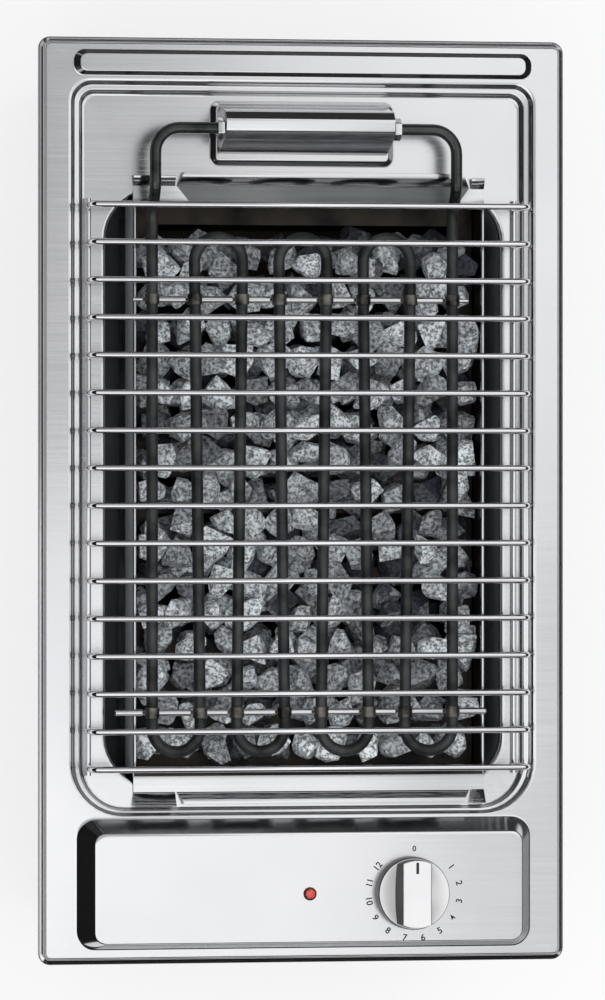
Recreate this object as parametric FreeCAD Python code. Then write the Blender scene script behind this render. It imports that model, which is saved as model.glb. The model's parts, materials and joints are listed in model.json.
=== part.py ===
"""Built-in electric grill with lava rocks, a hinged heating element and a lift-off wire grid.

Millimetres. X runs across the plate, Y towards the rear, Z up. The origin is the centre of the
base casing's underside, straight below the centre of the plate.
"""

import FreeCAD, Part
import math
import os
import random

# Worktop and casing
CASING_DEPTH = 150.0            # worktop surface down to the underside of the casing
CASING_INSET_X = 14.0           # plate edge in to the casing's sides
CASING_INSET_Y = 17.0           # plate edge in to the casing's front and rear
CASING_TAPER = 15.5             # the lower part of each side draws in by this
CASING_KNEE = 76.0              # height at which the sides start to draw in
CASING_SHEET = 0.8
VENT_LENGTH = 34.0
VENT_WIDTH = 3.0
VENT_PITCH = 8.0
VENT_COUNT = 6
VENT_FOOT = 30.0
VENT_OFFSET = 4.0               # vents stand this far behind the knob's line

# Pressed top plate
PLATE_WIDTH = 295.0
PLATE_DEPTH = 510.0
PLATE_CORNER = 6.5
PLATE_SHEET = 1.0
RIM_HEIGHT = 6.5                # worktop up to the flat border
RIM_RUN = 5.7                   # plan width of the sloping rim
RIM_HEM = 1.6                   # upright edge at the foot of the rim
RIM_GAP = 0.3                   # rim edge above the worktop, closed by the seal
BEND = 0.9                      # plan and height of the small bevels at each press line

# Stiffening pad along the rear border
PAD_BORDER_X = 18.0             # plate edge in to the pad
PAD_BORDER_Y = 6.8
PAD_DEPTH = 14.8
PAD_RISE = 2.4
PAD_GAP = 0.8                   # flat left between the recess and the pad
PAD_RUN = 3.0
PAD_END_RUN = 5.6
PAD_CORNER = 6.5

# Raised control panel at the front
PANEL_BORDER_X = 19.3           # plate edge in to the panel
PANEL_BORDER_Y = 8.0
PANEL_DEPTH = 69.0
PANEL_RISE = 9.0
PANEL_CORNER = 11.0
PANEL_SIDE_RUN = 9.8
PANEL_REAR_RUN = 6.6
PANEL_FRONT_RUN = 4.4
PANEL_GAP = 4.0                 # flat left between the panel and the recess

# Sunken field of the plate, which holds everything hot
RECESS_DROP = 7.0
RECESS_BORDER = 16.0            # plate edge in to the recess
RECESS_FRONT_CORNER = 30.0
RECESS_REAR_CORNER = 12.5
RECESS_SIDE_RUN = 10.0
RECESS_REAR_RUN = 10.1
RECESS_FRONT_RUN = 5.5
FLOOR_FRONT_CORNER = 23.0
FLOOR_REAR_CORNER = 6.0
RECESS_TOP_BEND = 2.6           # plan width of the rounding at the top and foot of the walls
RECESS_TOP_DROP = 0.9
RECESS_FOOT_BEND = 2.0
RECESS_FOOT_DROP = 0.9

# Opening for the lava tray, with its rolled and turned-down edge
LEDGE_SIDE = 10.5               # sunken floor left beside the opening
LEDGE_REAR = 52.0
LEDGE_FRONT = 12.0
OPENING_CENTRE_X = 1.5
OPENING_CORNER = 27.0
ROLL = 2.5
COLLAR_DROP = 5.0

# Well under the opening
WELL_SHEET = 0.8
WELL_GAP = 0.4
WELL_FLANGE = 5.5
WELL_DEPTH = 132.0
WELL_TAPER = 6.0

# Lava tray
TRAY_SHEET = 0.8
TRAY_ROOM_LEFT = 15.1           # opening's edge in to the tray, side by side
TRAY_ROOM_RIGHT = 9.8
TRAY_ROOM_FRONT = 8.1
TRAY_ROOM_REAR = 5.9
TRAY_CORNER = 2.5
TRAY_DEPTH = 92.0
TRAY_STEP_DEPTH = 26.0          # ledge surface down to the step that carries the rack
TRAY_STEP = 6.0
TRAY_HEM = 1.6
TRAY_HEM_DEPTH = 2.0
FLANGE_REAR = 10.2
FLANGE_FRONT = 12.2
LIP_RUN = 6.4
LIP_RISE = 5.0
TAB_RUN = 4.0
TAB_RISE = 2.6
LIP_INSET_LEFT = 23.4           # tray's side in to the end of the wide lip
LIP_INSET_RIGHT = 7.7
LIP_MITRE = 4.5

# Rack and rocks
RACK_SHEET = 1.2
RACK_CLEARANCE = 0.6
RACK_BAR = 10.0
RACK_PITCH = 20.0
RACK_SIDE = 14.0
ROCK_ROWS = 10
ROCK_COLUMNS = 6
ROCK_HEIGHT = 25.0
ROCK_GAP = 0.6

# Heating element
TUBE = 6.5
TUBE_SIDES = 12
ELEMENT_OFFSET = 5.35           # the element stands this far left of the tray's middle
ELEMENT_ROOM = 28.7             # tray width left over beside the outer legs, both sides together
HAIRPIN_RADIUS = 13.4
HAIRPIN_STEPS = 9
HAIRPIN_ROOM_REAR = 33.0        # tray's rear wall to the centres of the rear hairpins
HAIRPIN_ROOM_FRONT = 23.7
RUN_RISE = 3.5                  # border surface up to the centre of the runs
PIVOT_RISE = 15.0               # border surface up to the pivot
PIVOT_SETBACK = 28.1            # recess's rear edge forward to the pivot
ARM_REACH = 46.5                # pivot forward to the foot of the arms' slope
ARM_SLOPE = 40.0
ARM_BEND = 12.0
ARM_TURN = 13.4
ARM_END = 36.0                  # tube end from the housing's middle
COLD_PIN_LENGTH = 11.0
BEND_STEPS = 4

# Element supports
ROD = 2.4
REAR_ROD_SETBACK = 20.8         # rod forward of the rear hairpins' centres
FRONT_ROD_SETBACK = 8.1         # rod behind the front hairpins' centres
CLIP_SHEET = 0.8
CLIP_WIDTH = 6.0
CLIP_CLEARANCE = 0.05
SPACER = 3.8
SPACER_BORE_CLEARANCE = 0.05
SPACER_END_GAP = 0.1
PIN = 3.8
PIN_LENGTH = 15.9               # rest pins out from the outer clips, over the tray's side walls
REST_GAP = 0.3                  # rest pins above the tray walls
REAR_ROD_OVERHANG = 7.0

# Terminal housing
HOUSING_CENTRE_X = 0.0
HOUSING_LENGTH = 94.0
HOUSING_HALF_Y = 13.6
HOUSING_SIDE = 2.0              # upright hem of the hood, then its two slopes
HOUSING_SHOULDER_Y = 8.0
HOUSING_SHOULDER = 23.6
HOUSING_TOP_Y = 3.6
HOUSING_TOP = 27.6
HOUSING_SHEET = 1.0
END_PLATE = 2.0
SEAT_RISE = 2.5                 # pressed seat below the hood
SEAT_MARGIN_X = 4.8             # seat past the ends of the hood
SEAT_MARGIN_FRONT = 6.5
SEAT_MARGIN_REAR = 2.5
SEAT_CORNER = 5.5
SEAT_RUN = 2.3
BUSH_WALL = 1.6
BUSH_FLANGE = 1.2
BUSH_STUB = 2.0                 # bush past the inner face of its end plate
BUSH_CLEARANCE = 0.3
NUT_FLATS = 11.0
NUT_WIDTH = 4.0
NUT_GAP = 0.4
HOUSING_SCREW = 4.0
HOUSING_SCREW_HOLE = 4.4
HOUSING_SCREW_INSET = 8.0
HOUSING_SCREW_BITE = 4.0        # screw past the underside of the plate
HOUSING_SCREW_HEAD = 8.0
WIRE_SLOT_LENGTH = 50.0         # slot below the hood, where the element's leads drop
WIRE_SLOT_WIDTH = 14.0

# Wire grid
BAR = 3.5
BAR_SIDES = 8
BAR_COUNT = 16
BAR_ROOM_REAR = 2.5             # tray's rear and front wall in to the end bars
BAR_ROOM_FRONT = 1.5
GRID_RISE = 24.8                # border surface up to the centre of the bars
BAR_LEAN = 2.4                  # the bars' legs lean out by this
BAR_CUT = 3.2                   # legs of the cut corner that stands for the bend
RAIL = 3.2
RAIL_ROOM = 1.9                 # foot of the recess's wall in to the rail's centre
RAIL_OVERHANG = 2.5
GRID_REST_GAP = 0.3

# Controls
KNOB_INSET_X = 69.7             # panel's right edge in to the knob's axis
KNOB_INSET_Y = 30.5             # panel's front edge back to the knob's axis
KNOB_RADIUS = 20.2
KNOB_SKIRT = 10.5
KNOB_HEIGHT = 18.0
KNOB_GAP = 1.0
GRIP_FOOT = 17.6
GRIP_TOP = 15.0
KNOB_EDGE = 0.8
SPINDLE = 6.0
SPINDLE_CLEARANCE = 0.08
SPINDLE_HOLE_CLEARANCE = 1.2
KNOB_BORE_CLEARANCE = 0.05
KNOB_BORE_DEPTH = 13.0
LAMP_OFFSET = 56.7              # lamp left of the knob
LAMP_LENS = 5.6
LAMP_LENS_GAP = 0.05
LAMP_LENS_RISE = 2.2
LAMP_LENS_CROWN = 0.9
LAMP_BEZEL = 7.4
LAMP_BEZEL_RISE = 1.2
LAMP_BEZEL_SLOPE = 0.5
LAMP_BODY = 6.2
LAMP_HOLE_CLEARANCE = 0.1
LAMP_LENGTH = 26.0
LAMP_TAB_LENGTH = 7.0
LAMP_TAB_WIDTH = 2.8
REGULATOR_WIDTH = 42.0
REGULATOR_DEPTH = 36.0
REGULATOR_HEIGHT = 30.0
REGULATOR_EDGE = 1.5
REGULATOR_NECK = 10.0
REGULATOR_NECK_HEIGHT = 7.0
REGULATOR_NECK_CLEARANCE = 0.2
REGULATOR_NUT_FLATS = 14.0
REGULATOR_NUT_HEIGHT = 3.0
REGULATOR_SOCKET = 9.0          # depth of the spindle inside the regulator
REGULATOR_SOCKET_END = 0.5
BLADE_WIDTH = 6.3
BLADE_SHEET = 0.8
BLADE_LENGTH = 8.0
BLADE_PITCH = 12.0
BLADE_ROW_HALF = 11.5           # rows of blades in front of and behind the knob's axis
RECEPTACLE_LENGTH = 7.0
RECEPTACLE_WALL = 0.75
RECEPTACLE_HALF_Y = 1.6
BRACKET_SHEET = 1.5
BRACKET_HEIGHT = 15.0
BRACKET_LENGTH = 66.0
BRACKET_DEPTH = 24.0
BRACKET_TAB = 7.5

# Installation
SEAL_WIDTH = 3.8
SEAL_INSET = 0.9
CLAMP_INSET = 43.5              # casing's side in to the clamps
CLAMP_REACH = 14.0
CLAMP_WIDTH = 18.0
CLAMP_SHEET = 1.5
CLAMP_DROP = 38.0               # worktop surface down to the clamp screws' feet
CLAMP_ANCHOR_DROP = 30.0
CLAMP_ABOVE = 12.0              # clamp above and below its fixing screw
CLAMP_BELOW = 10.0
CLAMP_SCREW = 4.0
CLAMP_SCREW_GAP = 0.05
CLAMP_SCREW_BELOW = 14.0
CLAMP_FOOT = 8.0
CLAMP_FOOT_SHEET = 1.5
CASING_SCREW = 4.0
CASING_SCREW_CLEARANCE = 0.2
CASING_SCREW_LENGTH = 5.0
CASING_SCREW_HEAD = 7.6
CASING_SCREW_HEAD_HEIGHT = 2.4
SHIELD_SETBACK = 10.0           # opening's front edge forward to the heat shield
SHIELD_GAP = 0.6
SHIELD_FOOT = 12.0
SHIELD_FOOT_INSET = 4.0
SHIELD_NOTCH = 22.0             # wires pass the shield's right edge here
SHIELD_NOTCH_LOW = 20.0
SHIELD_NOTCH_HIGH = 62.0
GLAND_Z = 34.0
GLAND_BORE = 9.0
GLAND_THREAD = 16.0
GLAND_THREAD_CLEARANCE = 0.2
GLAND_THREAD_INSIDE = 8.0
GLAND_HEX = 22.0
GLAND_HEX_LENGTH = 6.0
GLAND_NUT = 4.0
GLAND_DOME = 9.0
TERMINAL_INSET_X = 38.0         # casing's left foot in to the terminal block
TERMINAL_INSET_Y = 33.0         # casing's rear in to the terminal block
TERMINAL_PITCH = 11.0
TERMINAL_HALF_X = 18.0
TERMINAL_HALF_Y = 9.0
TERMINAL_TOP = 14.0
TERMINAL_WALL = 3.0
TERMINAL_WALL_TOP = 20.0
TERMINAL_WAY = 4.4
TERMINAL_WAY_Z = 10.0
TERMINAL_SCREW = 3.0
TERMINAL_SCREW_HEAD = 5.0
TERMINAL_SCREW_GAP = 0.05
EARTH_OFFSET = 28.0             # earth stud left of the terminal block
EARTH_STUD = 4.0
EARTH_STUD_HEIGHT = 14.0
EARTH_NUT = 7.0
EARTH_NUT_HEIGHT = 3.0
EARTH_NUT_Z = 4.0

# Wires inside the casing
WIRE = 3.2
WIRE_SIDES = 6
WIRE_TURN = 7.0
WIRE_WALL_GAP = 4.0
WIRE_STEP = 8.0                 # height between neighbouring wires
WIRE_PLUG = 4.0                 # wire end inside the terminal block
WIRE_START = 18.0
SUPPLY_LEVEL = 26.0
LEAD_LEVEL = 46.0
LEAD_INSET = 14.0               # leads leave the cold pins this far in from the tube ends
LAMP_WIRE = 1.6
LAMP_WIRE_DROP = 77.5
LAMP_WIRE_TURN = 6.0
EARTH_WIRE_REACH = 22.0

# Places in plan, worked out from the values above
HALF_X = PLATE_WIDTH / 2
HALF_Y = PLATE_DEPTH / 2
PAD_HALF_X = HALF_X - PAD_BORDER_X
PAD_REAR = HALF_Y - PAD_BORDER_Y
PANEL_HALF_X = HALF_X - PANEL_BORDER_X
PANEL_FRONT = PANEL_BORDER_Y - HALF_Y
PANEL_REAR = PANEL_FRONT + PANEL_DEPTH
RECESS_HALF_X = HALF_X - RECESS_BORDER
RECESS_REAR = PAD_REAR - PAD_DEPTH - PAD_GAP
RECESS_FRONT = PANEL_REAR + PANEL_GAP
FLOOR_HALF_X = RECESS_HALF_X - RECESS_SIDE_RUN
OPENING_HALF_X = FLOOR_HALF_X - LEDGE_SIDE
OPENING_REAR = RECESS_REAR - RECESS_REAR_RUN - LEDGE_REAR
OPENING_FRONT = RECESS_FRONT + RECESS_FRONT_RUN + LEDGE_FRONT
TRAY_LEFT = OPENING_CENTRE_X - OPENING_HALF_X + TRAY_ROOM_LEFT
TRAY_RIGHT = OPENING_CENTRE_X + OPENING_HALF_X - TRAY_ROOM_RIGHT
TRAY_FRONT = OPENING_FRONT + TRAY_ROOM_FRONT
TRAY_REAR = OPENING_REAR - TRAY_ROOM_REAR
LIP_LEFT = TRAY_LEFT + LIP_INSET_LEFT
LIP_RIGHT = TRAY_RIGHT - LIP_INSET_RIGHT
ELEMENT_CENTRE_X = (TRAY_LEFT + TRAY_RIGHT) / 2 - ELEMENT_OFFSET
RUN_PITCH = (TRAY_RIGHT - TRAY_LEFT - ELEMENT_ROOM - 2 * HAIRPIN_RADIUS) / 6
HAIRPIN_REAR = TRAY_REAR - HAIRPIN_ROOM_REAR
HAIRPIN_FRONT = TRAY_FRONT + HAIRPIN_ROOM_FRONT
REAR_ROD_Y = HAIRPIN_REAR - REAR_ROD_SETBACK
FRONT_ROD_Y = HAIRPIN_FRONT + FRONT_ROD_SETBACK
PIVOT_Y = RECESS_REAR - PIVOT_SETBACK
ARM_FOOT_Y = PIVOT_Y - ARM_REACH
BAR_REAR_Y = TRAY_REAR - BAR_ROOM_REAR
BAR_FRONT_Y = TRAY_FRONT + BAR_ROOM_FRONT
BAR_PITCH = (BAR_REAR_Y - BAR_FRONT_Y) / (BAR_COUNT - 1)
FOOT_HALF = FLOOR_HALF_X - RAIL_ROOM
BAR_HALF = FOOT_HALF + BAR_LEAN
KNOB_X = PANEL_HALF_X - KNOB_INSET_X
KNOB_Y = PANEL_FRONT + KNOB_INSET_Y
LAMP_X = KNOB_X - LAMP_OFFSET
CASING_HALF_X = HALF_X - CASING_INSET_X
CASING_HALF_Y = HALF_Y - CASING_INSET_Y
CASING_FOOT_HALF_X = CASING_HALF_X - CASING_TAPER
CLAMP_X = CASING_HALF_X - CLAMP_INSET
TERMINAL_X = TERMINAL_INSET_X - CASING_FOOT_HALF_X
TERMINAL_Y = CASING_HALF_Y - TERMINAL_INSET_Y
GLAND_X = TERMINAL_X
EARTH_X = TERMINAL_X - EARTH_OFFSET

# Heights worked out from the values above
WORKTOP = CASING_DEPTH
BORDER = WORKTOP + RIM_HEIGHT
LEDGE = BORDER - RECESS_DROP
PANEL = BORDER + PANEL_RISE
RUN_Z = BORDER + RUN_RISE
PIVOT_Z = BORDER + PIVOT_RISE
ROD_Z = RUN_Z - TUBE / 2 - CLIP_CLEARANCE - CLIP_SHEET - ROD / 2
TRAY_TOP = ROD_Z - PIN / 2 - REST_GAP
TRAY_FLANGE_TOP = LEDGE + TRAY_SHEET
STEP_Z = LEDGE - TRAY_STEP_DEPTH
GRID_Z = BORDER + GRID_RISE
RAIL_Z = LEDGE + GRID_REST_GAP + RAIL / 2
HOUSING_BASE = LEDGE + SEAT_RISE
UNDER_PLATE = LEDGE - PLATE_SHEET
CASING_TOP = BORDER - PLATE_SHEET

X_AXIS = FreeCAD.Vector(1, 0, 0)
Y_AXIS = FreeCAD.Vector(0, 1, 0)
Z_AXIS = FreeCAD.Vector(0, 0, 1)
ORIGIN = FreeCAD.Vector(0, 0, 0)
PRESS = 0.6                     # plan growth of a pressed wall's underside, in sheets
DIAGONAL = math.sqrt(0.5)


def point(x, y, z):
    return FreeCAD.Vector(x, y, z)


class Outline:
    """A rectangle in plan with rounded corners; front and rear corners may differ."""

    def __init__(self, left, right, front, rear, front_radius, rear_radius=None):
        self.left = left
        self.right = right
        self.front = front
        self.rear = rear
        self.front_radius = front_radius
        self.rear_radius = front_radius if rear_radius is None else rear_radius

    def grown(self, side, front=None, rear=None):
        """The outline moved outwards by side, with its own amounts at the front and the rear."""
        front = side if front is None else front
        rear = side if rear is None else rear
        return Outline(
            self.left - side,
            self.right + side,
            self.front - front,
            self.rear + rear,
            max(self.front_radius + min(side, front), 0.6),
            max(self.rear_radius + min(side, rear), 0.6),
        )

    def towards(self, other, share):
        """The outline part of the way to another one."""
        names = ("left", "right", "front", "rear", "front_radius", "rear_radius")
        values = [getattr(self, name) * (1 - share) + getattr(other, name) * share for name in names]
        return Outline(*values)

    def wire(self, z):
        corners = [
            (self.right, self.front, -1, 1, self.front_radius, 1),
            (self.right, self.rear, -1, -1, self.rear_radius, 0),
            (self.left, self.rear, 1, -1, self.rear_radius, 1),
            (self.left, self.front, 1, 1, self.front_radius, 0),
        ]
        arcs = []
        for x, y, sx, sy, r, from_x in corners:
            along_x = point(x + sx * r, y, z)
            along_y = point(x, y + sy * r, z)
            middle = point(x + sx * r * (1 - DIAGONAL), y + sy * r * (1 - DIAGONAL), z)
            ends = (along_x, along_y) if from_x else (along_y, along_x)
            arcs.append((ends[0], middle, ends[1]))
        edges = []
        for index, (start, middle, end) in enumerate(arcs):
            edges.append(Part.Arc(start, middle, end).toShape())
            edges.append(Part.LineSegment(end, arcs[(index + 1) % 4][0]).toShape())
        return Part.Wire(edges)


def stack(*levels):
    """A solid through rounded outlines at rising or falling heights, joined by straight walls."""
    return Part.makeLoft([outline.wire(z) for outline, z in levels], True, True)


def block(x0, x1, y0, y1, z0, z1):
    return Part.makeBox(x1 - x0, y1 - y0, z1 - z0, point(x0, y0, z0))


def prism(points, direction):
    """A flat polygon pushed along a direction."""
    return Part.Face(Part.makePolygon(points + points[:1])).extrude(direction)


def rod_x(x0, x1, y, z, diameter):
    return Part.makeCylinder(diameter / 2, x1 - x0, point(x0, y, z), X_AXIS)


def post(x, y, z0, z1, diameter):
    return Part.makeCylinder(diameter / 2, z1 - z0, point(x, y, z0), Z_AXIS)


def fused(shapes):
    first, rest = shapes[0], shapes[1:]
    return first.multiFuse(rest).removeSplitter() if rest else first


def group(shapes):
    return Part.makeCompound(shapes)


def polygon_tube(sides, flats, bore_flats, start, length, turn=0.0):
    """A many-sided tube along X from start, measured across its flats."""
    def face(across):
        radius = across / 2 / math.cos(math.pi / sides)
        corners = []
        for k in range(sides):
            angle = 2 * math.pi * (k + 0.5) / sides + turn
            y = start.y + radius * math.cos(angle)
            z = start.z + radius * math.sin(angle)
            corners.append(point(start.x, y, z))
        return Part.Face(Part.makePolygon(corners + corners[:1]))

    push = X_AXIS * length
    return face(flats).extrude(push).cut(face(bore_flats).extrude(push))


def bend(centre, start, axis, angle, steps):
    """Points round a bend, both ends included."""
    arm = start - centre
    places = []
    for k in range(steps + 1):
        turn = FreeCAD.Rotation(axis, math.degrees(angle * k / steps))
        places.append(centre + turn.multVec(arm))
    return places


def rounded_route(points, radii):
    """A route of corners, each inner corner turned to its own radius in short steps."""
    route = [points[0]]
    for before, corner, after, radius in zip(points, points[1:], points[2:], radii):
        back = (before - corner).normalize()
        ahead = (after - corner).normalize()
        half = back.getAngle(ahead) / 2
        first = corner + back * (radius / math.tan(half))
        inward = (back + ahead).normalize()
        centre = corner + inward * (radius / math.sin(half))
        axis = ahead.cross(back)
        route += bend(centre, first, axis, math.pi - 2 * half, BEND_STEPS)
    return route + [points[-1]]


def wire_along(route, diameter, sides):
    """A many-sided wire along a route of corners, its lengths meeting in mitres."""
    heading = (route[1] - route[0]).normalize()
    level = Z_AXIS if abs(heading.z) < DIAGONAL else X_AXIS
    across = heading.cross(level).normalize()
    up = across.cross(heading)
    ring = []
    for k in range(sides):
        angle = 2 * math.pi * (k + 0.5) / sides
        spoke = across * math.cos(angle) + up * math.sin(angle)
        ring.append(route[0] + spoke * (diameter / 2))
    caps = [ring]
    faces = []
    for k in range(1, len(route)):
        heading = (route[k] - route[k - 1]).normalize()
        plane = heading
        if k + 1 < len(route):
            plane = heading + (route[k + 1] - route[k]).normalize()
        far = [spot + heading * ((route[k] - spot).dot(plane) / heading.dot(plane)) for spot in ring]
        for here in range(sides):
            after = (here + 1) % sides
            corners = [ring[here], ring[after], far[after], far[here]]
            faces.append(Part.Face(Part.makePolygon(corners + corners[:1])))
        ring = far
    caps.append(ring)
    for cap in caps:
        faces.append(Part.Face(Part.makePolygon(cap + cap[:1])))
    shell = Part.Shell(faces)
    shell.sewShape()
    solid = Part.Solid(shell)
    if solid.Volume < 0:
        solid.reverse()
    return solid


# Outlines of the pressed plate
EDGE = Outline(-PLATE_WIDTH / 2, PLATE_WIDTH / 2, -PLATE_DEPTH / 2, PLATE_DEPTH / 2, PLATE_CORNER)
FIELD = EDGE.grown(-RIM_RUN)
RECESS = Outline(
    -RECESS_HALF_X, RECESS_HALF_X, RECESS_FRONT, RECESS_REAR, RECESS_FRONT_CORNER, RECESS_REAR_CORNER
)
FLOOR = RECESS.grown(-RECESS_SIDE_RUN, -RECESS_FRONT_RUN, -RECESS_REAR_RUN)
FLOOR.front_radius = FLOOR_FRONT_CORNER
FLOOR.rear_radius = FLOOR_REAR_CORNER
PANEL_FOOT = Outline(-PANEL_HALF_X, PANEL_HALF_X, PANEL_FRONT, PANEL_REAR, PANEL_CORNER)
PANEL_TOP = PANEL_FOOT.grown(-PANEL_SIDE_RUN, -PANEL_FRONT_RUN, -PANEL_REAR_RUN)
PANEL_TOP.front_radius = PANEL_TOP.rear_radius = PANEL_CORNER / 2
PAD_FOOT = Outline(-PAD_HALF_X, PAD_HALF_X, RECESS_REAR + PAD_GAP, PAD_REAR, PAD_CORNER)
PAD_TOP = PAD_FOOT.grown(-PAD_END_RUN, -PAD_RUN, -PAD_RUN)
OPENING = Outline(
    OPENING_CENTRE_X - OPENING_HALF_X,
    OPENING_CENTRE_X + OPENING_HALF_X,
    OPENING_FRONT,
    OPENING_REAR,
    OPENING_CORNER,
)


def hob_plate():
    rim = stack(
        (EDGE, WORKTOP + RIM_GAP),
        (EDGE, WORKTOP + RIM_GAP + RIM_HEM),
        (FIELD.grown(BEND), BORDER - BEND),
        (FIELD, BORDER),
    )
    under = EDGE.grown(-PLATE_SHEET)
    rim_hollow = stack(
        (under, WORKTOP - PLATE_SHEET),
        (under, WORKTOP + RIM_GAP + RIM_HEM - PLATE_SHEET * PRESS),
        (FIELD.grown(BEND - PLATE_SHEET * PRESS), BORDER - BEND - PLATE_SHEET),
        (FIELD.grown(-PLATE_SHEET * PRESS), BORDER - PLATE_SHEET),
    )
    skin = PLATE_SHEET * PRESS
    shoulder = RECESS.towards(FLOOR, RECESS_TOP_BEND / RECESS_SIDE_RUN)
    toe = FLOOR.towards(RECESS, RECESS_FOOT_BEND / RECESS_SIDE_RUN)
    recess_skin = stack(
        (FLOOR.grown(skin), LEDGE - PLATE_SHEET),
        (toe.grown(skin), LEDGE + RECESS_FOOT_DROP - PLATE_SHEET),
        (shoulder.grown(skin), BORDER - RECESS_TOP_DROP - PLATE_SHEET * PRESS),
        (RECESS.grown(skin), BORDER - PLATE_SHEET / 2),
    )
    recess_void = stack(
        (FLOOR, LEDGE),
        (toe, LEDGE + RECESS_FOOT_DROP),
        (shoulder, BORDER - RECESS_TOP_DROP),
        (RECESS, BORDER),
        (RECESS, BORDER + PAD_GAP / 2),
    )
    panel_skin = stack(
        (PANEL_FOOT, BORDER - PLATE_SHEET / 2),
        (PANEL_FOOT, BORDER),
        (PANEL_TOP.grown(BEND), PANEL - BEND),
        (PANEL_TOP, PANEL),
    )
    panel_hollow = stack(
        (PANEL_FOOT.grown(-skin), BORDER - 2 * PLATE_SHEET),
        (PANEL_FOOT.grown(-skin), BORDER - PLATE_SHEET),
        (PANEL_TOP.grown(BEND - skin), PANEL - BEND - PLATE_SHEET),
        (PANEL_TOP.grown(-skin), PANEL - PLATE_SHEET),
    )
    pad_skin = stack(
        (PAD_FOOT, BORDER - PLATE_SHEET / 2),
        (PAD_FOOT, BORDER),
        (PAD_TOP, BORDER + PAD_RISE),
    )
    pad_hollow = stack(
        (PAD_FOOT.grown(-skin), BORDER - 2 * PLATE_SHEET),
        (PAD_FOOT.grown(-skin), BORDER - PLATE_SHEET),
        (PAD_TOP.grown(-skin), BORDER + PAD_RISE - PLATE_SHEET),
    )
    collar = stack(
        (OPENING.grown(PLATE_SHEET), LEDGE - COLLAR_DROP),
        (OPENING.grown(PLATE_SHEET), LEDGE - ROLL - PLATE_SHEET * PRESS),
        (OPENING.grown(ROLL), LEDGE - PLATE_SHEET),
    )
    opening_void = stack(
        (OPENING, LEDGE - COLLAR_DROP - PLATE_SHEET),
        (OPENING, LEDGE - ROLL),
        (OPENING.grown(ROLL * (1 - DIAGONAL)), LEDGE - ROLL * (1 - DIAGONAL)),
        (OPENING.grown(ROLL), LEDGE),
        (OPENING.grown(ROLL), LEDGE + PLATE_SHEET / 2),
    )
    plate = rim.cut(rim_hollow).fuse(recess_skin).cut(recess_void)
    plate = plate.fuse(panel_skin).cut(panel_hollow).fuse(pad_skin).cut(pad_hollow)
    plate = plate.fuse(collar).cut(opening_void)
    drill = PLATE_SHEET * 2
    bore = SPINDLE + 2 * SPINDLE_HOLE_CLEARANCE
    spindle_hole = post(KNOB_X, KNOB_Y, PANEL - drill, PANEL + drill, bore)
    lamp_hole = post(LAMP_X, KNOB_Y, PANEL - drill, PANEL + drill, LAMP_BODY + 2 * LAMP_HOLE_CLEARANCE)
    wire_slot = block(*wire_slot_span(), LEDGE - drill, LEDGE + drill)
    holes = [spindle_hole, lamp_hole, wire_slot]
    for x, y in housing_screws_at():
        holes.append(post(x, y, LEDGE - drill, LEDGE + drill, HOUSING_SCREW_HOLE))
    return plate.cut(holes).removeSplitter()


def wire_slot_span():
    half = WIRE_SLOT_LENGTH / 2
    return (
        HOUSING_CENTRE_X - half,
        HOUSING_CENTRE_X + half,
        PIVOT_Y - WIRE_SLOT_WIDTH / 2,
        PIVOT_Y + WIRE_SLOT_WIDTH / 2,
    )


def housing_screws_at():
    reach = HOUSING_LENGTH / 2 - HOUSING_SCREW_INSET
    return [(HOUSING_CENTRE_X - reach, PIVOT_Y), (HOUSING_CENTRE_X + reach, PIVOT_Y)]


def rim_seal():
    outer = FIELD.grown(-SEAL_INSET)
    ring = stack((outer, WORKTOP), (outer, BORDER - PLATE_SHEET))
    inner = outer.grown(-SEAL_WIDTH)
    return ring.cut(stack((inner, WORKTOP - 1), (inner, BORDER)))


def grill_well():
    mouth = OPENING.grown(ROLL + WELL_GAP)
    bottom = mouth.grown(-WELL_TAPER)
    base = LEDGE - WELL_DEPTH
    round_over = WELL_TAPER
    outer = stack(
        (bottom.grown(WELL_SHEET - round_over), base),
        (bottom.grown(WELL_SHEET), base + round_over),
        (mouth.grown(WELL_SHEET), UNDER_PLATE - WELL_SHEET),
    )
    flange = stack(
        (mouth.grown(WELL_FLANGE), UNDER_PLATE - WELL_SHEET),
        (mouth.grown(WELL_FLANGE), UNDER_PLATE),
    )
    inner = stack(
        (bottom.grown(-round_over), base + WELL_SHEET),
        (bottom, base + round_over + WELL_SHEET / 2),
        (mouth, UNDER_PLATE - WELL_SHEET),
        (mouth, UNDER_PLATE + WELL_SHEET),
    )
    return outer.fuse(flange).cut(inner).removeSplitter()


TRAY = Outline(TRAY_LEFT, TRAY_RIGHT, TRAY_FRONT, TRAY_REAR, TRAY_CORNER)


def tray_lip(y, outwards, run, rise, x0, x1, mitre):
    """A sloping strip along the end of a tray flange; its upper edge is shorter by the mitre."""
    z = LEDGE
    top = TRAY_FLANGE_TOP
    section = [
        point(x0, y, z),
        point(x0, y + outwards * run, z + rise),
        point(x0, y + outwards * run, top + rise),
        point(x0, y, top),
    ]
    strip = prism(section, X_AXIS * (x1 - x0))
    if not mitre:
        return strip
    cutters = []
    for x, sign in ((x0, 1), (x1, -1)):
        low = y - outwards * TRAY_SHEET
        far = y + outwards * (run + TRAY_SHEET)
        wedge = [
            point(x - sign, low, z - 1),
            point(x - sign, far, z - 1),
            point(x + sign * mitre, far, z - 1),
        ]
        cutters.append(prism(wedge, Z_AXIS * (rise + 4)))
    return strip.cut(cutters)


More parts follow.
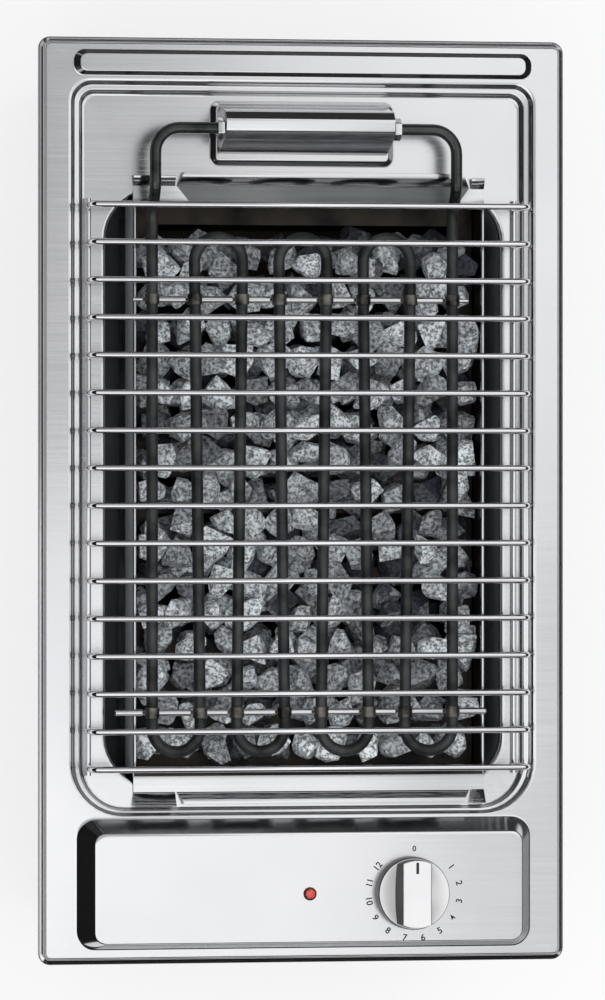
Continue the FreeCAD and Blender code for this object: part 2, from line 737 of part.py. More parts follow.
def lava_tray():
    lower = TRAY.grown(-TRAY_STEP)
    bottom = LEDGE - TRAY_DEPTH
    outer = stack(
        (lower.grown(-TRAY_STEP), bottom),
        (lower, bottom + TRAY_STEP),
        (lower, STEP_Z - TRAY_STEP),
        (TRAY, STEP_Z - TRAY_SHEET),
        (TRAY, TRAY_FLANGE_TOP),
    )
    wall = -TRAY_SHEET
    hem_foot = TRAY_FLANGE_TOP - TRAY_HEM_DEPTH
    sump = stack(
        (lower.grown(wall - TRAY_STEP), bottom + TRAY_SHEET),
        (lower.grown(wall), bottom + TRAY_STEP + TRAY_SHEET / 2),
        (lower.grown(wall), STEP_Z + 1),
    )
    upper = stack((TRAY.grown(wall), STEP_Z), (TRAY.grown(wall), hem_foot + 1))
    mouth = stack((TRAY.grown(-TRAY_HEM), hem_foot), (TRAY.grown(-TRAY_HEM), TRAY_TOP + 1))
    pieces = [outer]
    rear_edge = TRAY_REAR + FLANGE_REAR
    front_edge = TRAY_FRONT - FLANGE_FRONT
    pieces.append(block(TRAY_LEFT, TRAY_RIGHT, TRAY_REAR - TRAY_HEM, rear_edge, LEDGE, TRAY_FLANGE_TOP))
    pieces.append(block(TRAY_LEFT, TRAY_RIGHT, front_edge, TRAY_FRONT + TRAY_HEM, LEDGE, TRAY_FLANGE_TOP))
    for x0 in (TRAY_LEFT, TRAY_RIGHT - TRAY_HEM):
        pieces.append(block(x0, x0 + TRAY_HEM, TRAY_FRONT, TRAY_REAR, hem_foot, TRAY_TOP))
    for y, outwards in ((rear_edge, 1), (front_edge, -1)):
        pieces.append(tray_lip(y, outwards, LIP_RUN, LIP_RISE, LIP_LEFT, LIP_RIGHT, LIP_MITRE))
        pieces.append(tray_lip(y, outwards, TAB_RUN, TAB_RISE, TRAY_LEFT, LIP_LEFT, 0))
        pieces.append(tray_lip(y, outwards, TAB_RUN, TAB_RISE, LIP_RIGHT, TRAY_RIGHT, 0))
    return fused(pieces).cut([sump, upper, mouth]).removeSplitter()


def rack_outline():
    return TRAY.grown(-TRAY_SHEET - RACK_CLEARANCE)


def rock_rack():
    """A welded grate: a flat bar down each side of the tray, with bars across between the two."""
    outline = rack_outline()
    sheet = stack((outline, STEP_Z), (outline, STEP_Z + RACK_SHEET))
    x0 = outline.left + RACK_SIDE
    x1 = outline.right - RACK_SIDE
    bars = []
    for start, end in ((outline.left, x0), (x1, outline.right)):
        bars.append(sheet.common(block(start, end, outline.front, outline.rear, STEP_Z - 1, STEP_Z + 3)))
    span = outline.rear - outline.front - RACK_BAR
    gaps = int(span / RACK_PITCH)
    for k in range(gaps + 1):
        y = outline.front + span * k / gaps
        bars.append(block(x0, x1, y, y + RACK_BAR, STEP_Z, STEP_Z + RACK_SHEET))
    return group(bars)


def rock(chance, cell_x, cell_y, x, y, base):
    """An angular lump: two tilted boxes that share their middle, kept inside its own cell."""
    centre = point(x, y, base + ROCK_HEIGHT / 2)

    def tilted(spread):
        sides = [size * spread * chance.uniform(0.86, 1.02) for size in (cell_x, cell_y, ROCK_HEIGHT)]
        box = Part.makeBox(*sides, point(*[-side / 2 for side in sides]))
        turn = FreeCAD.Rotation(chance.uniform(0, 90), chance.uniform(-35, 35), chance.uniform(-35, 35))
        box.Placement = FreeCAD.Placement(centre, turn).multiply(box.Placement)
        return box

    cell = block(
        x - cell_x / 2, x + cell_x / 2, y - cell_y / 2, y + cell_y / 2, base, base + ROCK_HEIGHT
    )
    return tilted(1.0).common(tilted(0.92)).common(cell).removeSplitter()


def lava_rocks():
    chance = random.Random(11)
    area = rack_outline()
    step_x = (area.right - area.left) / ROCK_COLUMNS
    step_y = (area.rear - area.front) / ROCK_ROWS
    base = STEP_Z + RACK_SHEET
    rocks = []
    for row in range(ROCK_ROWS):
        for column in range(ROCK_COLUMNS):
            x = area.left + step_x * (column + 0.5)
            y = area.front + step_y * (row + 0.5)
            rocks.append(rock(chance, step_x - ROCK_GAP, step_y - ROCK_GAP, x, y, base))
    return group(rocks)


def hairpin_x(front_row, k):
    """X of hairpin k, counted from the left, in the front row of four or the rear row of three."""
    first = -3 if front_row else -2
    return ELEMENT_CENTRE_X + (first + 2 * k) * RUN_PITCH


def leg_lean():
    """Angle off the Y axis of a leg that is tangent to a front and a rear hairpin."""
    along = HAIRPIN_REAR - HAIRPIN_FRONT
    span = math.hypot(RUN_PITCH, along)
    return math.acos(2 * HAIRPIN_RADIUS / span) - math.atan2(along, RUN_PITCH)


def leg_ends(leg):
    """Front and rear end of leg 1 to 8; the outer two run on straight to the arms."""
    if leg in (1, 8):
        side = -1 if leg == 1 else 1
        x = hairpin_x(True, 0 if leg == 1 else 3) + side * HAIRPIN_RADIUS
        return point(x, HAIRPIN_FRONT, RUN_Z), point(x, ARM_FOOT_Y, RUN_Z)
    lean = leg_lean()
    front_hairpin = hairpin_x(True, (leg - 1) // 2)
    rear_hairpin = hairpin_x(False, (leg - 2) // 2)
    side = 1 if rear_hairpin > front_hairpin else -1
    shift_x = side * HAIRPIN_RADIUS * math.cos(lean)
    shift_y = HAIRPIN_RADIUS * math.sin(lean)
    front = point(front_hairpin + shift_x, HAIRPIN_FRONT - shift_y, RUN_Z)
    rear = point(rear_hairpin - shift_x, HAIRPIN_REAR + shift_y, RUN_Z)
    return front, rear


def leg_x(leg, y):
    front, rear = leg_ends(leg)
    return front.x + (rear.x - front.x) * (y - front.y) / (rear.y - front.y)


def arm_corners(side):
    """Corners of one arm, from the foot of its rise to its end inside the terminal housing."""
    x = leg_ends(1 if side < 0 else 8)[1].x
    rise_end = ARM_FOOT_Y + (PIVOT_Z - RUN_Z) / math.tan(math.radians(ARM_SLOPE))
    return [
        point(x, ARM_FOOT_Y, RUN_Z),
        point(x, rise_end, PIVOT_Z),
        point(x, PIVOT_Y, PIVOT_Z),
        point(HOUSING_CENTRE_X + side * ARM_END, PIVOT_Y, PIVOT_Z),
    ]


def hairpin(leg):
    """Points round the hairpin that joins a leg to the next one on its right."""
    front_turn = leg % 2 == 1
    end = 0 if front_turn else 1
    start, finish = leg_ends(leg)[end], leg_ends(leg + 1)[end]
    index = (leg - 1) // 2 if front_turn else (leg - 2) // 2
    centre_y = HAIRPIN_FRONT if front_turn else HAIRPIN_REAR
    centre = point(hairpin_x(front_turn, index), centre_y, RUN_Z)
    first = math.atan2(start.y - centre.y, start.x - centre.x)
    last = math.atan2(finish.y - centre.y, finish.x - centre.x)
    sweep = (last - first) % (2 * math.pi)
    if not front_turn:
        sweep -= 2 * math.pi
    return bend(centre, start, Z_AXIS, sweep, HAIRPIN_STEPS)


def heating_element():
    """One tube: left arm, eight legs joined by seven hairpins, right arm."""
    radii = [ARM_BEND, ARM_BEND, ARM_TURN]
    left = rounded_route([leg_ends(1)[0]] + arm_corners(-1), radii)
    right = rounded_route([leg_ends(8)[0]] + arm_corners(1), radii)
    route = left[:0:-1]
    for leg in range(1, 8):
        route += hairpin(leg)
    return wire_along(route + right[1:], TUBE, TUBE_SIDES)


def terminal_pins():
    """Cold pins that stand out of the tube ends inside the terminal housing."""
    reach = ARM_END - COLD_PIN_LENGTH
    x = HOUSING_CENTRE_X
    return group(
        [
            rod_x(x - ARM_END, x - reach, PIVOT_Y, PIVOT_Z, TUBE / 2),
            rod_x(x + reach, x + ARM_END, PIVOT_Y, PIVOT_Z, TUBE / 2),
        ]
    )


def clip_half_width():
    return TUBE / 2 + CLIP_CLEARANCE + CLIP_SHEET


def element_clips():
    """A folded sheet loop round each run, resting on the rod below it."""
    clips = []
    bore = TUBE + 2 * CLIP_CLEARANCE
    for y in (REAR_ROD_Y, FRONT_ROD_Y):
        for leg in range(1, 9):
            start = point(0, leg_x(leg, y), RUN_Z)
            loop = polygon_tube(6, bore + 2 * CLIP_SHEET, bore, start, CLIP_WIDTH, math.pi / 6)
            loop.rotate(ORIGIN, Z_AXIS, -90)
            loop.translate(point(0, y + CLIP_WIDTH / 2, 0))
            clips.append(loop)
    return group(clips)


def rod_span(y):
    return leg_x(1, y) - REAR_ROD_OVERHANG, leg_x(8, y) + REAR_ROD_OVERHANG


def rear_support_rod():
    """The rear rod ends in flattened blades that stop short of the tray."""
    x0, x1 = rod_span(REAR_ROD_Y)
    shaft = rod_x(x0, x1, REAR_ROD_Y, ROD_Z, ROD)
    blades = []
    for x, sign in ((x0, -1), (x1, 1)):
        blade = [
            point(x, REAR_ROD_Y - ROD * 0.75, ROD_Z - ROD / 4),
            point(x, REAR_ROD_Y + ROD * 0.75, ROD_Z - ROD / 4),
            point(x + sign * ROD * 1.5, REAR_ROD_Y, ROD_Z - ROD / 4),
        ]
        blades.append(prism(blade, Z_AXIS * (ROD / 2)))
    return fused([shaft] + blades)


def front_support_rod():
    x0, x1 = pin_starts()
    return rod_x(x0, x1, FRONT_ROD_Y, ROD_Z, ROD)


def pin_starts():
    """Inner ends of the two rest pins, just outside the outer runs."""
    gap = clip_half_width() + SPACER_END_GAP
    return leg_x(1, FRONT_ROD_Y) - gap, leg_x(8, FRONT_ROD_Y) + gap


def rest_pins():
    x0, x1 = pin_starts()
    pins = [
        rod_x(x0 - PIN_LENGTH, x0, FRONT_ROD_Y, ROD_Z, PIN),
        rod_x(x1, x1 + PIN_LENGTH, FRONT_ROD_Y, ROD_Z, PIN),
    ]
    return group(pins)


def spacer_tubes():
    spacers = []
    bore = ROD + 2 * SPACER_BORE_CLEARANCE
    gap = clip_half_width() + SPACER_END_GAP
    for y in (REAR_ROD_Y, FRONT_ROD_Y):
        for leg in range(1, 8):
            x0 = leg_x(leg, y) + gap
            x1 = leg_x(leg + 1, y) - gap
            spacers.append(polygon_tube(8, SPACER, bore, point(x0, y, ROD_Z), x1 - x0))
    return group(spacers)


def housing_profile(inset, x):
    """Half-hexagon hood section in the YZ plane, drawn in by the sheet thickness."""
    base = HOUSING_BASE
    low = [
        (HOUSING_HALF_Y - inset, 0.0),
        (HOUSING_HALF_Y - inset, HOUSING_SIDE - inset * PRESS),
        (HOUSING_SHOULDER_Y - inset, HOUSING_SHOULDER - inset * PRESS),
        (HOUSING_TOP_Y - inset * PRESS / 2, HOUSING_TOP - inset),
    ]
    front = [point(x, PIVOT_Y - y, base + z) for y, z in low]
    rear = [point(x, PIVOT_Y + y, base + z) for y, z in reversed(low)]
    return front + rear


def housing_ends():
    half = HOUSING_LENGTH / 2
    return HOUSING_CENTRE_X - half, HOUSING_CENTRE_X + half


def terminal_cover():
    """Folded hood over the element's terminals, open at both ends for the end plates."""
    x0, x1 = housing_ends()
    hood = prism(housing_profile(0, x0), X_AXIS * (x1 - x0))
    room = prism(housing_profile(HOUSING_SHEET, x0 - 1), X_AXIS * (x1 - x0 + 2))
    return hood.cut(room)


def bush_radius():
    return TUBE / 2 + BUSH_CLEARANCE


def housing_end_plates():
    """End plates inside the hood; each carries a bush for the element."""
    x0, x1 = housing_ends()
    plates = []
    for x in (x0, x1 - END_PLATE):
        plate = prism(housing_profile(HOUSING_SHEET, x), X_AXIS * END_PLATE)
        hole = rod_x(x - 1, x + END_PLATE + 1, PIVOT_Y, PIVOT_Z, 2 * (bush_radius() + BUSH_WALL))
        plates.append(plate.cut(hole))
    return group(plates)


def pivot_bushes():
    x0, x1 = housing_ends()
    bushes = []
    for x, sign in ((x0, 1), (x1, -1)):
        inner_end = x + sign * (END_PLATE + BUSH_STUB)
        low, high = min(x, inner_end), max(x, inner_end)
        barrel = rod_x(low, high, PIVOT_Y, PIVOT_Z, 2 * (bush_radius() + BUSH_WALL))
        face_end = x + sign * (END_PLATE + BUSH_FLANGE)
        inside = x + sign * END_PLATE
        start, end = min(inside, face_end), max(inside, face_end)
        collar = rod_x(start, end, PIVOT_Y, PIVOT_Z, 2 * (bush_radius() + 2 * BUSH_WALL))
        bore = rod_x(low - 1, high + 1, PIVOT_Y, PIVOT_Z, 2 * bush_radius())
        bushes.append(fused([barrel, collar]).cut(bore))
    return group(bushes)


def element_nuts():
    """Hexagon nuts clamped on the tube just outside the housing."""
    x0, x1 = housing_ends()
    bore = TUBE + 2 * CLIP_CLEARANCE
    left = polygon_tube(6, NUT_FLATS, bore, point(x0 - NUT_GAP - NUT_WIDTH, PIVOT_Y, PIVOT_Z), NUT_WIDTH)
    right = polygon_tube(6, NUT_FLATS, bore, point(x1 + NUT_GAP, PIVOT_Y, PIVOT_Z), NUT_WIDTH)
    return group([left, right])


def housing_seat():
    """Pressed seat on the sunken field that carries the hood."""
    x0, x1 = housing_ends()
    foot = Outline(
        x0 - SEAT_MARGIN_X,
        x1 + SEAT_MARGIN_X,
        PIVOT_Y - HOUSING_HALF_Y - SEAT_MARGIN_FRONT,
        PIVOT_Y + HOUSING_HALF_Y + SEAT_MARGIN_REAR,
        SEAT_CORNER,
    )
    crown = foot.grown(-SEAT_RUN)
    cup = stack((foot, LEDGE), (crown, HOUSING_BASE))
    inset = HOUSING_SHEET * PRESS
    below = HOUSING_BASE - HOUSING_SHEET
    hollow = stack((foot.grown(-inset), LEDGE - HOUSING_SHEET), (crown.grown(-inset), below))
    cuts = [hollow, block(*wire_slot_span(), LEDGE - 1, HOUSING_BASE + 1)]
    for x, y in housing_screws_at():
        cuts.append(post(x, y, LEDGE - 1, HOUSING_BASE + 1, HOUSING_SCREW_HOLE))
    return cup.cut(cuts)


def screw(x, y, z, diameter, length, head):
    """A screw pointing down, with its head resting at z."""
    shank = post(x, y, z - length, z, diameter)
    cap = Part.makeCone(head / 2, head / 3, head / 3, point(x, y, z), Z_AXIS)
    return shank.fuse(cap)


def housing_screws():
    length = SEAT_RISE + PLATE_SHEET + HOUSING_SCREW_BITE
    screws = []
    for x, y in housing_screws_at():
        screws.append(screw(x, y, HOUSING_BASE, HOUSING_SCREW, length, HOUSING_SCREW_HEAD))
    return group(screws)


def bar_y(k):
    return BAR_REAR_Y - k * BAR_PITCH


def wire_bar(y):
    """One grid bar: foot, leg, cut corner, bar and back down, standing on the rails."""
    top = GRID_Z
    foot = RAIL_Z + RAIL / 2
    shoulder = BAR_HALF - BAR_CUT * BAR_LEAN / (top - foot)
    half = [
        point(FOOT_HALF, y, foot),
        point(shoulder, y, top - BAR_CUT),
        point(BAR_HALF - BAR_CUT, y, top),
    ]
    other = [point(-corner.x, y, corner.z) for corner in reversed(half)]
    bar = wire_along(half + other, BAR, BAR_SIDES)
    below = block(-HALF_X, HALF_X, y - BAR, y + BAR, foot - BAR, foot)
    return bar.cut(below)


def grid_bars():
    return group([wire_bar(bar_y(k)) for k in range(BAR_COUNT)])


def grid_rails():
    """Two side rails, flat on top where the bars are welded on."""
    reach = BAR / 2 + RAIL_OVERHANG
    rear = bar_y(0) + reach
    front = bar_y(BAR_COUNT - 1) - reach
    across = RAIL / math.cos(math.pi / BAR_SIDES)
    rails = []
    for x in (-FOOT_HALF, FOOT_HALF):
        rails.append(wire_along([point(x, front, RAIL_Z), point(x, rear, RAIL_Z)], across, BAR_SIDES))
    return group(rails)


def control_knob():
    base = PANEL + KNOB_GAP
    top = base + KNOB_HEIGHT
    skirt = post(KNOB_X, KNOB_Y, base, base + KNOB_SKIRT, 2 * KNOB_RADIUS)
    skirt = skirt.makeChamfer(KNOB_EDGE, [skirt.Edges[0]])
    reach = KNOB_RADIUS + 1

    def bar(width, z):
        corners = [
            point(KNOB_X - width / 2, KNOB_Y - reach, z),
            point(KNOB_X + width / 2, KNOB_Y - reach, z),
            point(KNOB_X + width / 2, KNOB_Y + reach, z),
            point(KNOB_X - width / 2, KNOB_Y + reach, z),
        ]
        return Part.makePolygon(corners + corners[:1])

    shoulder = top - KNOB_EDGE
    levels = [bar(GRIP_FOOT, base), bar(GRIP_TOP, shoulder), bar(GRIP_TOP - 2 * KNOB_EDGE, top)]
    grip = Part.makeLoft(levels, True, True)
    profile = [
        point(KNOB_X, KNOB_Y, base),
        point(KNOB_X + KNOB_RADIUS - KNOB_EDGE / 4, KNOB_Y, base),
        point(KNOB_X + KNOB_RADIUS - KNOB_EDGE, KNOB_Y, shoulder),
        point(KNOB_X + KNOB_RADIUS - 2 * KNOB_EDGE, KNOB_Y, top),
        point(KNOB_X, KNOB_Y, top),
    ]
    face = Part.Face(Part.makePolygon(profile + profile[:1]))
    drum = face.revolve(point(KNOB_X, KNOB_Y, base), Z_AXIS, 360)
    grip = grip.common(drum)
    bore = post(KNOB_X, KNOB_Y, base - 1, base + KNOB_BORE_DEPTH, SPINDLE + 2 * KNOB_BORE_CLEARANCE)
    return fused([skirt, grip]).cut(bore)


def spindle_base():
    return PANEL - BRACKET_HEIGHT - PLATE_SHEET - REGULATOR_SOCKET


def regulator_spindle():
    """Round spindle with a flat along the length that the knob grips."""
    top = PANEL + KNOB_GAP + KNOB_BORE_DEPTH - 1
    shaft = post(KNOB_X, KNOB_Y, spindle_base(), top, SPINDLE)
    x0, x1 = KNOB_X + SPINDLE / 4, KNOB_X + SPINDLE
    y0, y1 = KNOB_Y - SPINDLE, KNOB_Y + SPINDLE
    return shaft.cut(block(x0, x1, y0, y1, PANEL + KNOB_GAP, top + 1))


def bracket_top():
    return PANEL - PLATE_SHEET - BRACKET_HEIGHT + BRACKET_SHEET


def regulator_bracket():
    """A hat-section bracket that hangs the regulator below the control panel."""
    half = BRACKET_LENGTH / 2
    y0, y1 = KNOB_Y - BRACKET_DEPTH / 2, KNOB_Y + BRACKET_DEPTH / 2
    ceiling = PANEL - PLATE_SHEET
    floor = bracket_top() - BRACKET_SHEET
    tab = BRACKET_TAB
    pieces = [block(KNOB_X - half + tab, KNOB_X + half - tab, y0, y1, floor, bracket_top())]
    for sign in (-1, 1):
        inner = KNOB_X + sign * (half - tab)
        outer = KNOB_X + sign * half
        wall = inner - sign * BRACKET_SHEET
        pieces.append(block(min(inner, wall), max(inner, wall), y0, y1, floor, ceiling))
        pieces.append(block(min(wall, outer), max(wall, outer), y0, y1, ceiling - BRACKET_SHEET, ceiling))
    bore = REGULATOR_NECK + 2 * REGULATOR_NECK_CLEARANCE
    hole = post(KNOB_X, KNOB_Y, floor - 1, bracket_top() + 1, bore)
    return fused(pieces).cut(hole)


def energy_regulator():
    """Body of the regulator, its threaded neck and six blade terminals."""
    top = bracket_top() - BRACKET_SHEET
    bottom = top - REGULATOR_HEIGHT
    outline = Outline(
        KNOB_X - REGULATOR_WIDTH / 2,
        KNOB_X + REGULATOR_WIDTH / 2,
        KNOB_Y - REGULATOR_DEPTH / 2,
        KNOB_Y + REGULATOR_DEPTH / 2,
        2 * REGULATOR_EDGE,
    )
    narrow = outline.grown(-REGULATOR_EDGE)
    pieces = [stack((narrow, bottom), (outline, bottom + REGULATOR_EDGE), (outline, top))]
    neck_top = top + REGULATOR_NECK_HEIGHT
    pieces.append(post(KNOB_X, KNOB_Y, top, neck_top, REGULATOR_NECK))
    for row in blade_spots():
        for spot in row:
            x0, x1 = spot.x - BLADE_WIDTH / 2, spot.x + BLADE_WIDTH / 2
            y0, y1 = spot.y - BLADE_SHEET / 2, spot.y + BLADE_SHEET / 2
            pieces.append(block(x0, x1, y0, y1, spot.z, bottom + 1))
    bore = SPINDLE + 2 * SPINDLE_CLEARANCE
    socket = post(KNOB_X, KNOB_Y, spindle_base() - REGULATOR_SOCKET_END, neck_top + 1, bore)
    return fused(pieces).cut(socket)


def regulator_nut():
    bore = REGULATOR_NECK + CLIP_CLEARANCE * 2
    nut = polygon_tube(6, REGULATOR_NUT_FLATS, bore, ORIGIN, REGULATOR_NUT_HEIGHT)
    nut.rotate(ORIGIN, Y_AXIS, -90)
    nut.translate(point(KNOB_X, KNOB_Y, bracket_top()))
    return nut


def lamp_bezel():
    radius = LAMP_BEZEL / 2
    spot = point(LAMP_X, KNOB_Y, PANEL)
    ring = Part.makeCone(radius, radius - LAMP_BEZEL_SLOPE, LAMP_BEZEL_RISE, spot, Z_AXIS)
    return ring.cut(post(LAMP_X, KNOB_Y, PANEL - 1, PANEL + LAMP_BEZEL_RISE + 1, LAMP_LENS))


def lamp_lens():
    radius = LAMP_LENS / 2 - LAMP_LENS_GAP
    ball = (radius**2 + LAMP_LENS_CROWN**2) / (2 * LAMP_LENS_CROWN)
    top = PANEL + LAMP_LENS_RISE
    stem = post(LAMP_X, KNOB_Y, PANEL, top, 2 * radius)
    return stem.common(Part.makeSphere(ball, point(LAMP_X, KNOB_Y, top - ball)))


def lamp_body():
    low = PANEL - LAMP_LENGTH
    pieces = [post(LAMP_X, KNOB_Y, low, PANEL, LAMP_BODY)]
    y0, y1 = KNOB_Y - LAMP_TAB_WIDTH / 2, KNOB_Y + LAMP_TAB_WIDTH / 2
    for sign in (-1, 1):
        x = LAMP_X + sign * LAMP_BODY / 4
        half = BLADE_SHEET / 2
        pieces.append(block(x - half, x + half, y0, y1, low - LAMP_TAB_LENGTH, low + 1))
    return fused(pieces)


def casing_half_x(z):
    """Outer half width of the casing at a height."""
    return CASING_HALF_X - CASING_TAPER * max(0.0, 1 - z / CASING_KNEE)


def casing_floor():
    """Bottom sheet of the casing, let in between its walls."""
    y = CASING_HALF_Y - CASING_SHEET
    half = [point(casing_half_x(z) - CASING_SHEET, -y, z) for z in (0.0, CASING_SHEET)]
    other = [point(-corner.x, corner.y, corner.z) for corner in reversed(half)]
    return prism(half + other, Y_AXIS * (2 * y))


def casing_sides():
    """Left and right side sheets, bent inwards at the knee, with air slots at the front."""
    levels = (0.0, CASING_KNEE, CASING_TOP)
    slots = []
    y = KNOB_Y + VENT_OFFSET
    for k in range(VENT_COUNT):
        z = VENT_FOOT + k * VENT_PITCH
        y0, y1 = y - VENT_LENGTH / 2, y + VENT_LENGTH / 2
        slots.append(block(-CASING_HALF_X - 1, CASING_HALF_X + 1, y0, y1, z, z + VENT_WIDTH))
    sides = []
    for sign in (-1, 1):
        outer = [point(sign * casing_half_x(z), -CASING_HALF_Y, z) for z in levels]
        inner = [point(corner.x - sign * CASING_SHEET, corner.y, corner.z) for corner in outer]
        sheet = prism(outer + inner[::-1], Y_AXIS * (2 * CASING_HALF_Y))
        sides.append(sheet.cut(slots))
    return group(sides)


def casing_ends():
    """Front and rear sheets between the sides, with the holes for gland and clamps."""
    levels = (0.0, CASING_KNEE, CASING_TOP)
    bore = GLAND_THREAD + 2 * GLAND_THREAD_CLEARANCE
    reach = 2 * CASING_SHEET
    gland_hole = along_y(GLAND_X, CASING_HALF_Y - reach, CASING_HALF_Y + reach, GLAND_Z, bore)
    ends = []
    for y in (-CASING_HALF_Y, CASING_HALF_Y - CASING_SHEET):
        half = [point(casing_half_x(z) - CASING_SHEET, y, z) for z in levels]
        other = [point(-corner.x, corner.y, corner.z) for corner in reversed(half)]
        sheet = prism(half + other, Y_AXIS * CASING_SHEET)
        ends.append(sheet.cut([gland_hole] + clamp_screw_holes()))
    return group(ends)


def clamp_screw_holes():
    bore = CASING_SCREW + 2 * CASING_SCREW_CLEARANCE
    reach = 2 * CLAMP_SHEET
    return [along_y(x, y - reach, y + reach, clamp_anchor_z(), bore) for x, y, side in clamps_at()]


def along_y(x, y0, y1, z, diameter):
    return Part.makeCylinder(diameter / 2, abs(y1 - y0), point(x, min(y0, y1), z), Y_AXIS)


def clamps_at():
    """Places where the four clamps are screwed to the casing's front and rear sheets."""
    return [(x, side * CASING_HALF_Y, side) for side in (-1, 1) for x in (-CLAMP_X, CLAMP_X)]


def clamp_anchor_z():
    return WORKTOP - CLAMP_DROP - CLAMP_ANCHOR_DROP


def clamp_screw_y(side):
    return side * (CASING_HALF_Y + CLAMP_REACH - CLAMP_SCREW)


def worktop_clamps():
    """Angle brackets on the casing; the long screw in each one bears up on the worktop."""
    z0 = clamp_anchor_z() - CLAMP_BELOW
    z1 = clamp_anchor_z() + CLAMP_ABOVE
    clamps = []
    for x, y, side in clamps_at():
        x0, x1 = x - CLAMP_WIDTH / 2, x + CLAMP_WIDTH / 2
        face = y + side * CLAMP_SHEET
        tip = y + side * CLAMP_REACH
        upright = block(x0, x1, min(y, face), max(y, face), z0, z1)
        shelf = block(x0, x1, min(y, tip), max(y, tip), z1 - CLAMP_SHEET, z1)
        bore = CLAMP_SCREW + 2 * CLAMP_SCREW_GAP
        hole = post(x, clamp_screw_y(side), z1 - 2 * CLAMP_SHEET, z1 + 1, bore)
        clamps.append(fused([upright, shelf]).cut(clamp_screw_holes() + [hole]))
    return group(clamps)


def clamp_screws():
    z0 = clamp_anchor_z() - CLAMP_SCREW_BELOW
    z1 = WORKTOP - CLAMP_DROP
    screws = []
    for x, y, side in clamps_at():
        shank = post(x, clamp_screw_y(side), z0, z1, CLAMP_SCREW)
        foot = post(x, clamp_screw_y(side), z1 - CLAMP_FOOT_SHEET, z1, CLAMP_FOOT)
        screws.append(fused([shank, foot]))
    return group(screws)


def casing_screws():
    """Short screws that hold the clamps to the casing, heads outside."""
    z = clamp_anchor_z()
    screws = []
    for x, y, side in clamps_at():
        face = y + side * CLAMP_SHEET
        shank = along_y(x, face, y - side * CASING_SCREW_LENGTH, z, CASING_SCREW)
        cap = along_y(x, face, face + side * CASING_SCREW_HEAD_HEIGHT, z, CASING_SCREW_HEAD)
        screws.append(fused([shank, cap]))
    return group(screws)


def heat_shield():
    """Upright sheet between the hot well and the control compartment, with a foot flange."""
    y = OPENING_FRONT - SHIELD_SETBACK
    inset = CASING_SHEET + SHIELD_GAP
    levels = (CASING_SHEET, CASING_KNEE, UNDER_PLATE - SHIELD_GAP)
    half = [point(casing_half_x(z) - inset, y, z) for z in levels]
    other = [point(-corner.x, corner.y, corner.z) for corner in reversed(half)]
    upright = prism(half + other, Y_AXIS * -CASING_SHEET)
    reach = half[0].x - SHIELD_FOOT_INSET
    foot = block(-reach, reach, y - SHIELD_FOOT, y, CASING_SHEET, 2 * CASING_SHEET)
    edge = half[1].x
    notch = block(edge - SHIELD_NOTCH, edge + 1, y - 2, y + 1, SHIELD_NOTCH_LOW, SHIELD_NOTCH_HIGH)
    return fused([upright, foot]).cut(notch)


def cable_gland():
    """Threaded gland in the rear sheet, bored through for the supply lead."""
    y = CASING_HALF_Y
    outside = y + GLAND_HEX_LENGTH
    inner = y - GLAND_THREAD_INSIDE
    thread = along_y(GLAND_X, inner, outside, GLAND_Z, GLAND_THREAD)
    body = polygon_tube(6, GLAND_HEX, GLAND_BORE / 2, ORIGIN, GLAND_HEX_LENGTH)
    nut = polygon_tube(6, GLAND_HEX, GLAND_BORE / 2, ORIGIN, GLAND_NUT)
    for piece, start in ((body, y), (nut, y - CASING_SHEET - GLAND_NUT)):
        piece.rotate(ORIGIN, Z_AXIS, 90)
        piece.translate(point(GLAND_X, start, GLAND_Z))
    wide, narrow = GLAND_HEX / 2 - 1, GLAND_THREAD / 2 - 1
    dome = Part.makeCone(wide, narrow, GLAND_DOME, point(GLAND_X, outside, GLAND_Z), Y_AXIS)
    bore = along_y(GLAND_X, inner - 1, outside + GLAND_DOME + 1, GLAND_Z, GLAND_BORE)
    return fused([thread, body, nut, dome]).cut(bore)


def terminal_ways():
    return [TERMINAL_X + (k - 1) * TERMINAL_PITCH for k in range(3)]


def terminal_block():
    """Three-way porcelain terminal block on the casing floor."""
    y0, y1 = TERMINAL_Y - TERMINAL_HALF_Y, TERMINAL_Y + TERMINAL_HALF_Y
    x0, x1 = TERMINAL_X - TERMINAL_HALF_X, TERMINAL_X + TERMINAL_HALF_X
    pieces = [block(x0, x1, y0, y1, CASING_SHEET, TERMINAL_TOP)]
    middle = TERMINAL_WALL / 2
    for k in range(4):
        x = TERMINAL_X + (k - 1.5) * TERMINAL_PITCH
        pieces.append(block(x - middle, x + middle, y0, y1, TERMINAL_TOP, TERMINAL_WALL_TOP))
    cuts = []
    bore = TERMINAL_SCREW + 2 * TERMINAL_SCREW_GAP
    for x in terminal_ways():
        cuts.append(along_y(x, y0 - 1, y1 + 1, TERMINAL_WAY_Z, TERMINAL_WAY))
        cuts.append(post(x, TERMINAL_Y, TERMINAL_WAY_Z, TERMINAL_TOP + 1, bore))
    return fused(pieces).cut(cuts)


def terminal_screws():
    reach = TERMINAL_TOP - TERMINAL_WAY_Z - WIRE / 2
    screws = []
    for x in terminal_ways():
        screws.append(screw(x, TERMINAL_Y, TERMINAL_TOP, TERMINAL_SCREW, reach, TERMINAL_SCREW_HEAD))
    return group(screws)


def earth_stud():
    """Welded stud on the casing floor with a nut."""
    stud = post(EARTH_X, TERMINAL_Y, CASING_SHEET, EARTH_STUD_HEIGHT, EARTH_STUD)
    nut = polygon_tube(6, EARTH_NUT, EARTH_STUD / 2, ORIGIN, EARTH_NUT_HEIGHT)
    nut.rotate(ORIGIN, Y_AXIS, -90)
    nut.translate(point(EARTH_X, TERMINAL_Y, EARTH_NUT_Z))
    return fused([stud, nut])


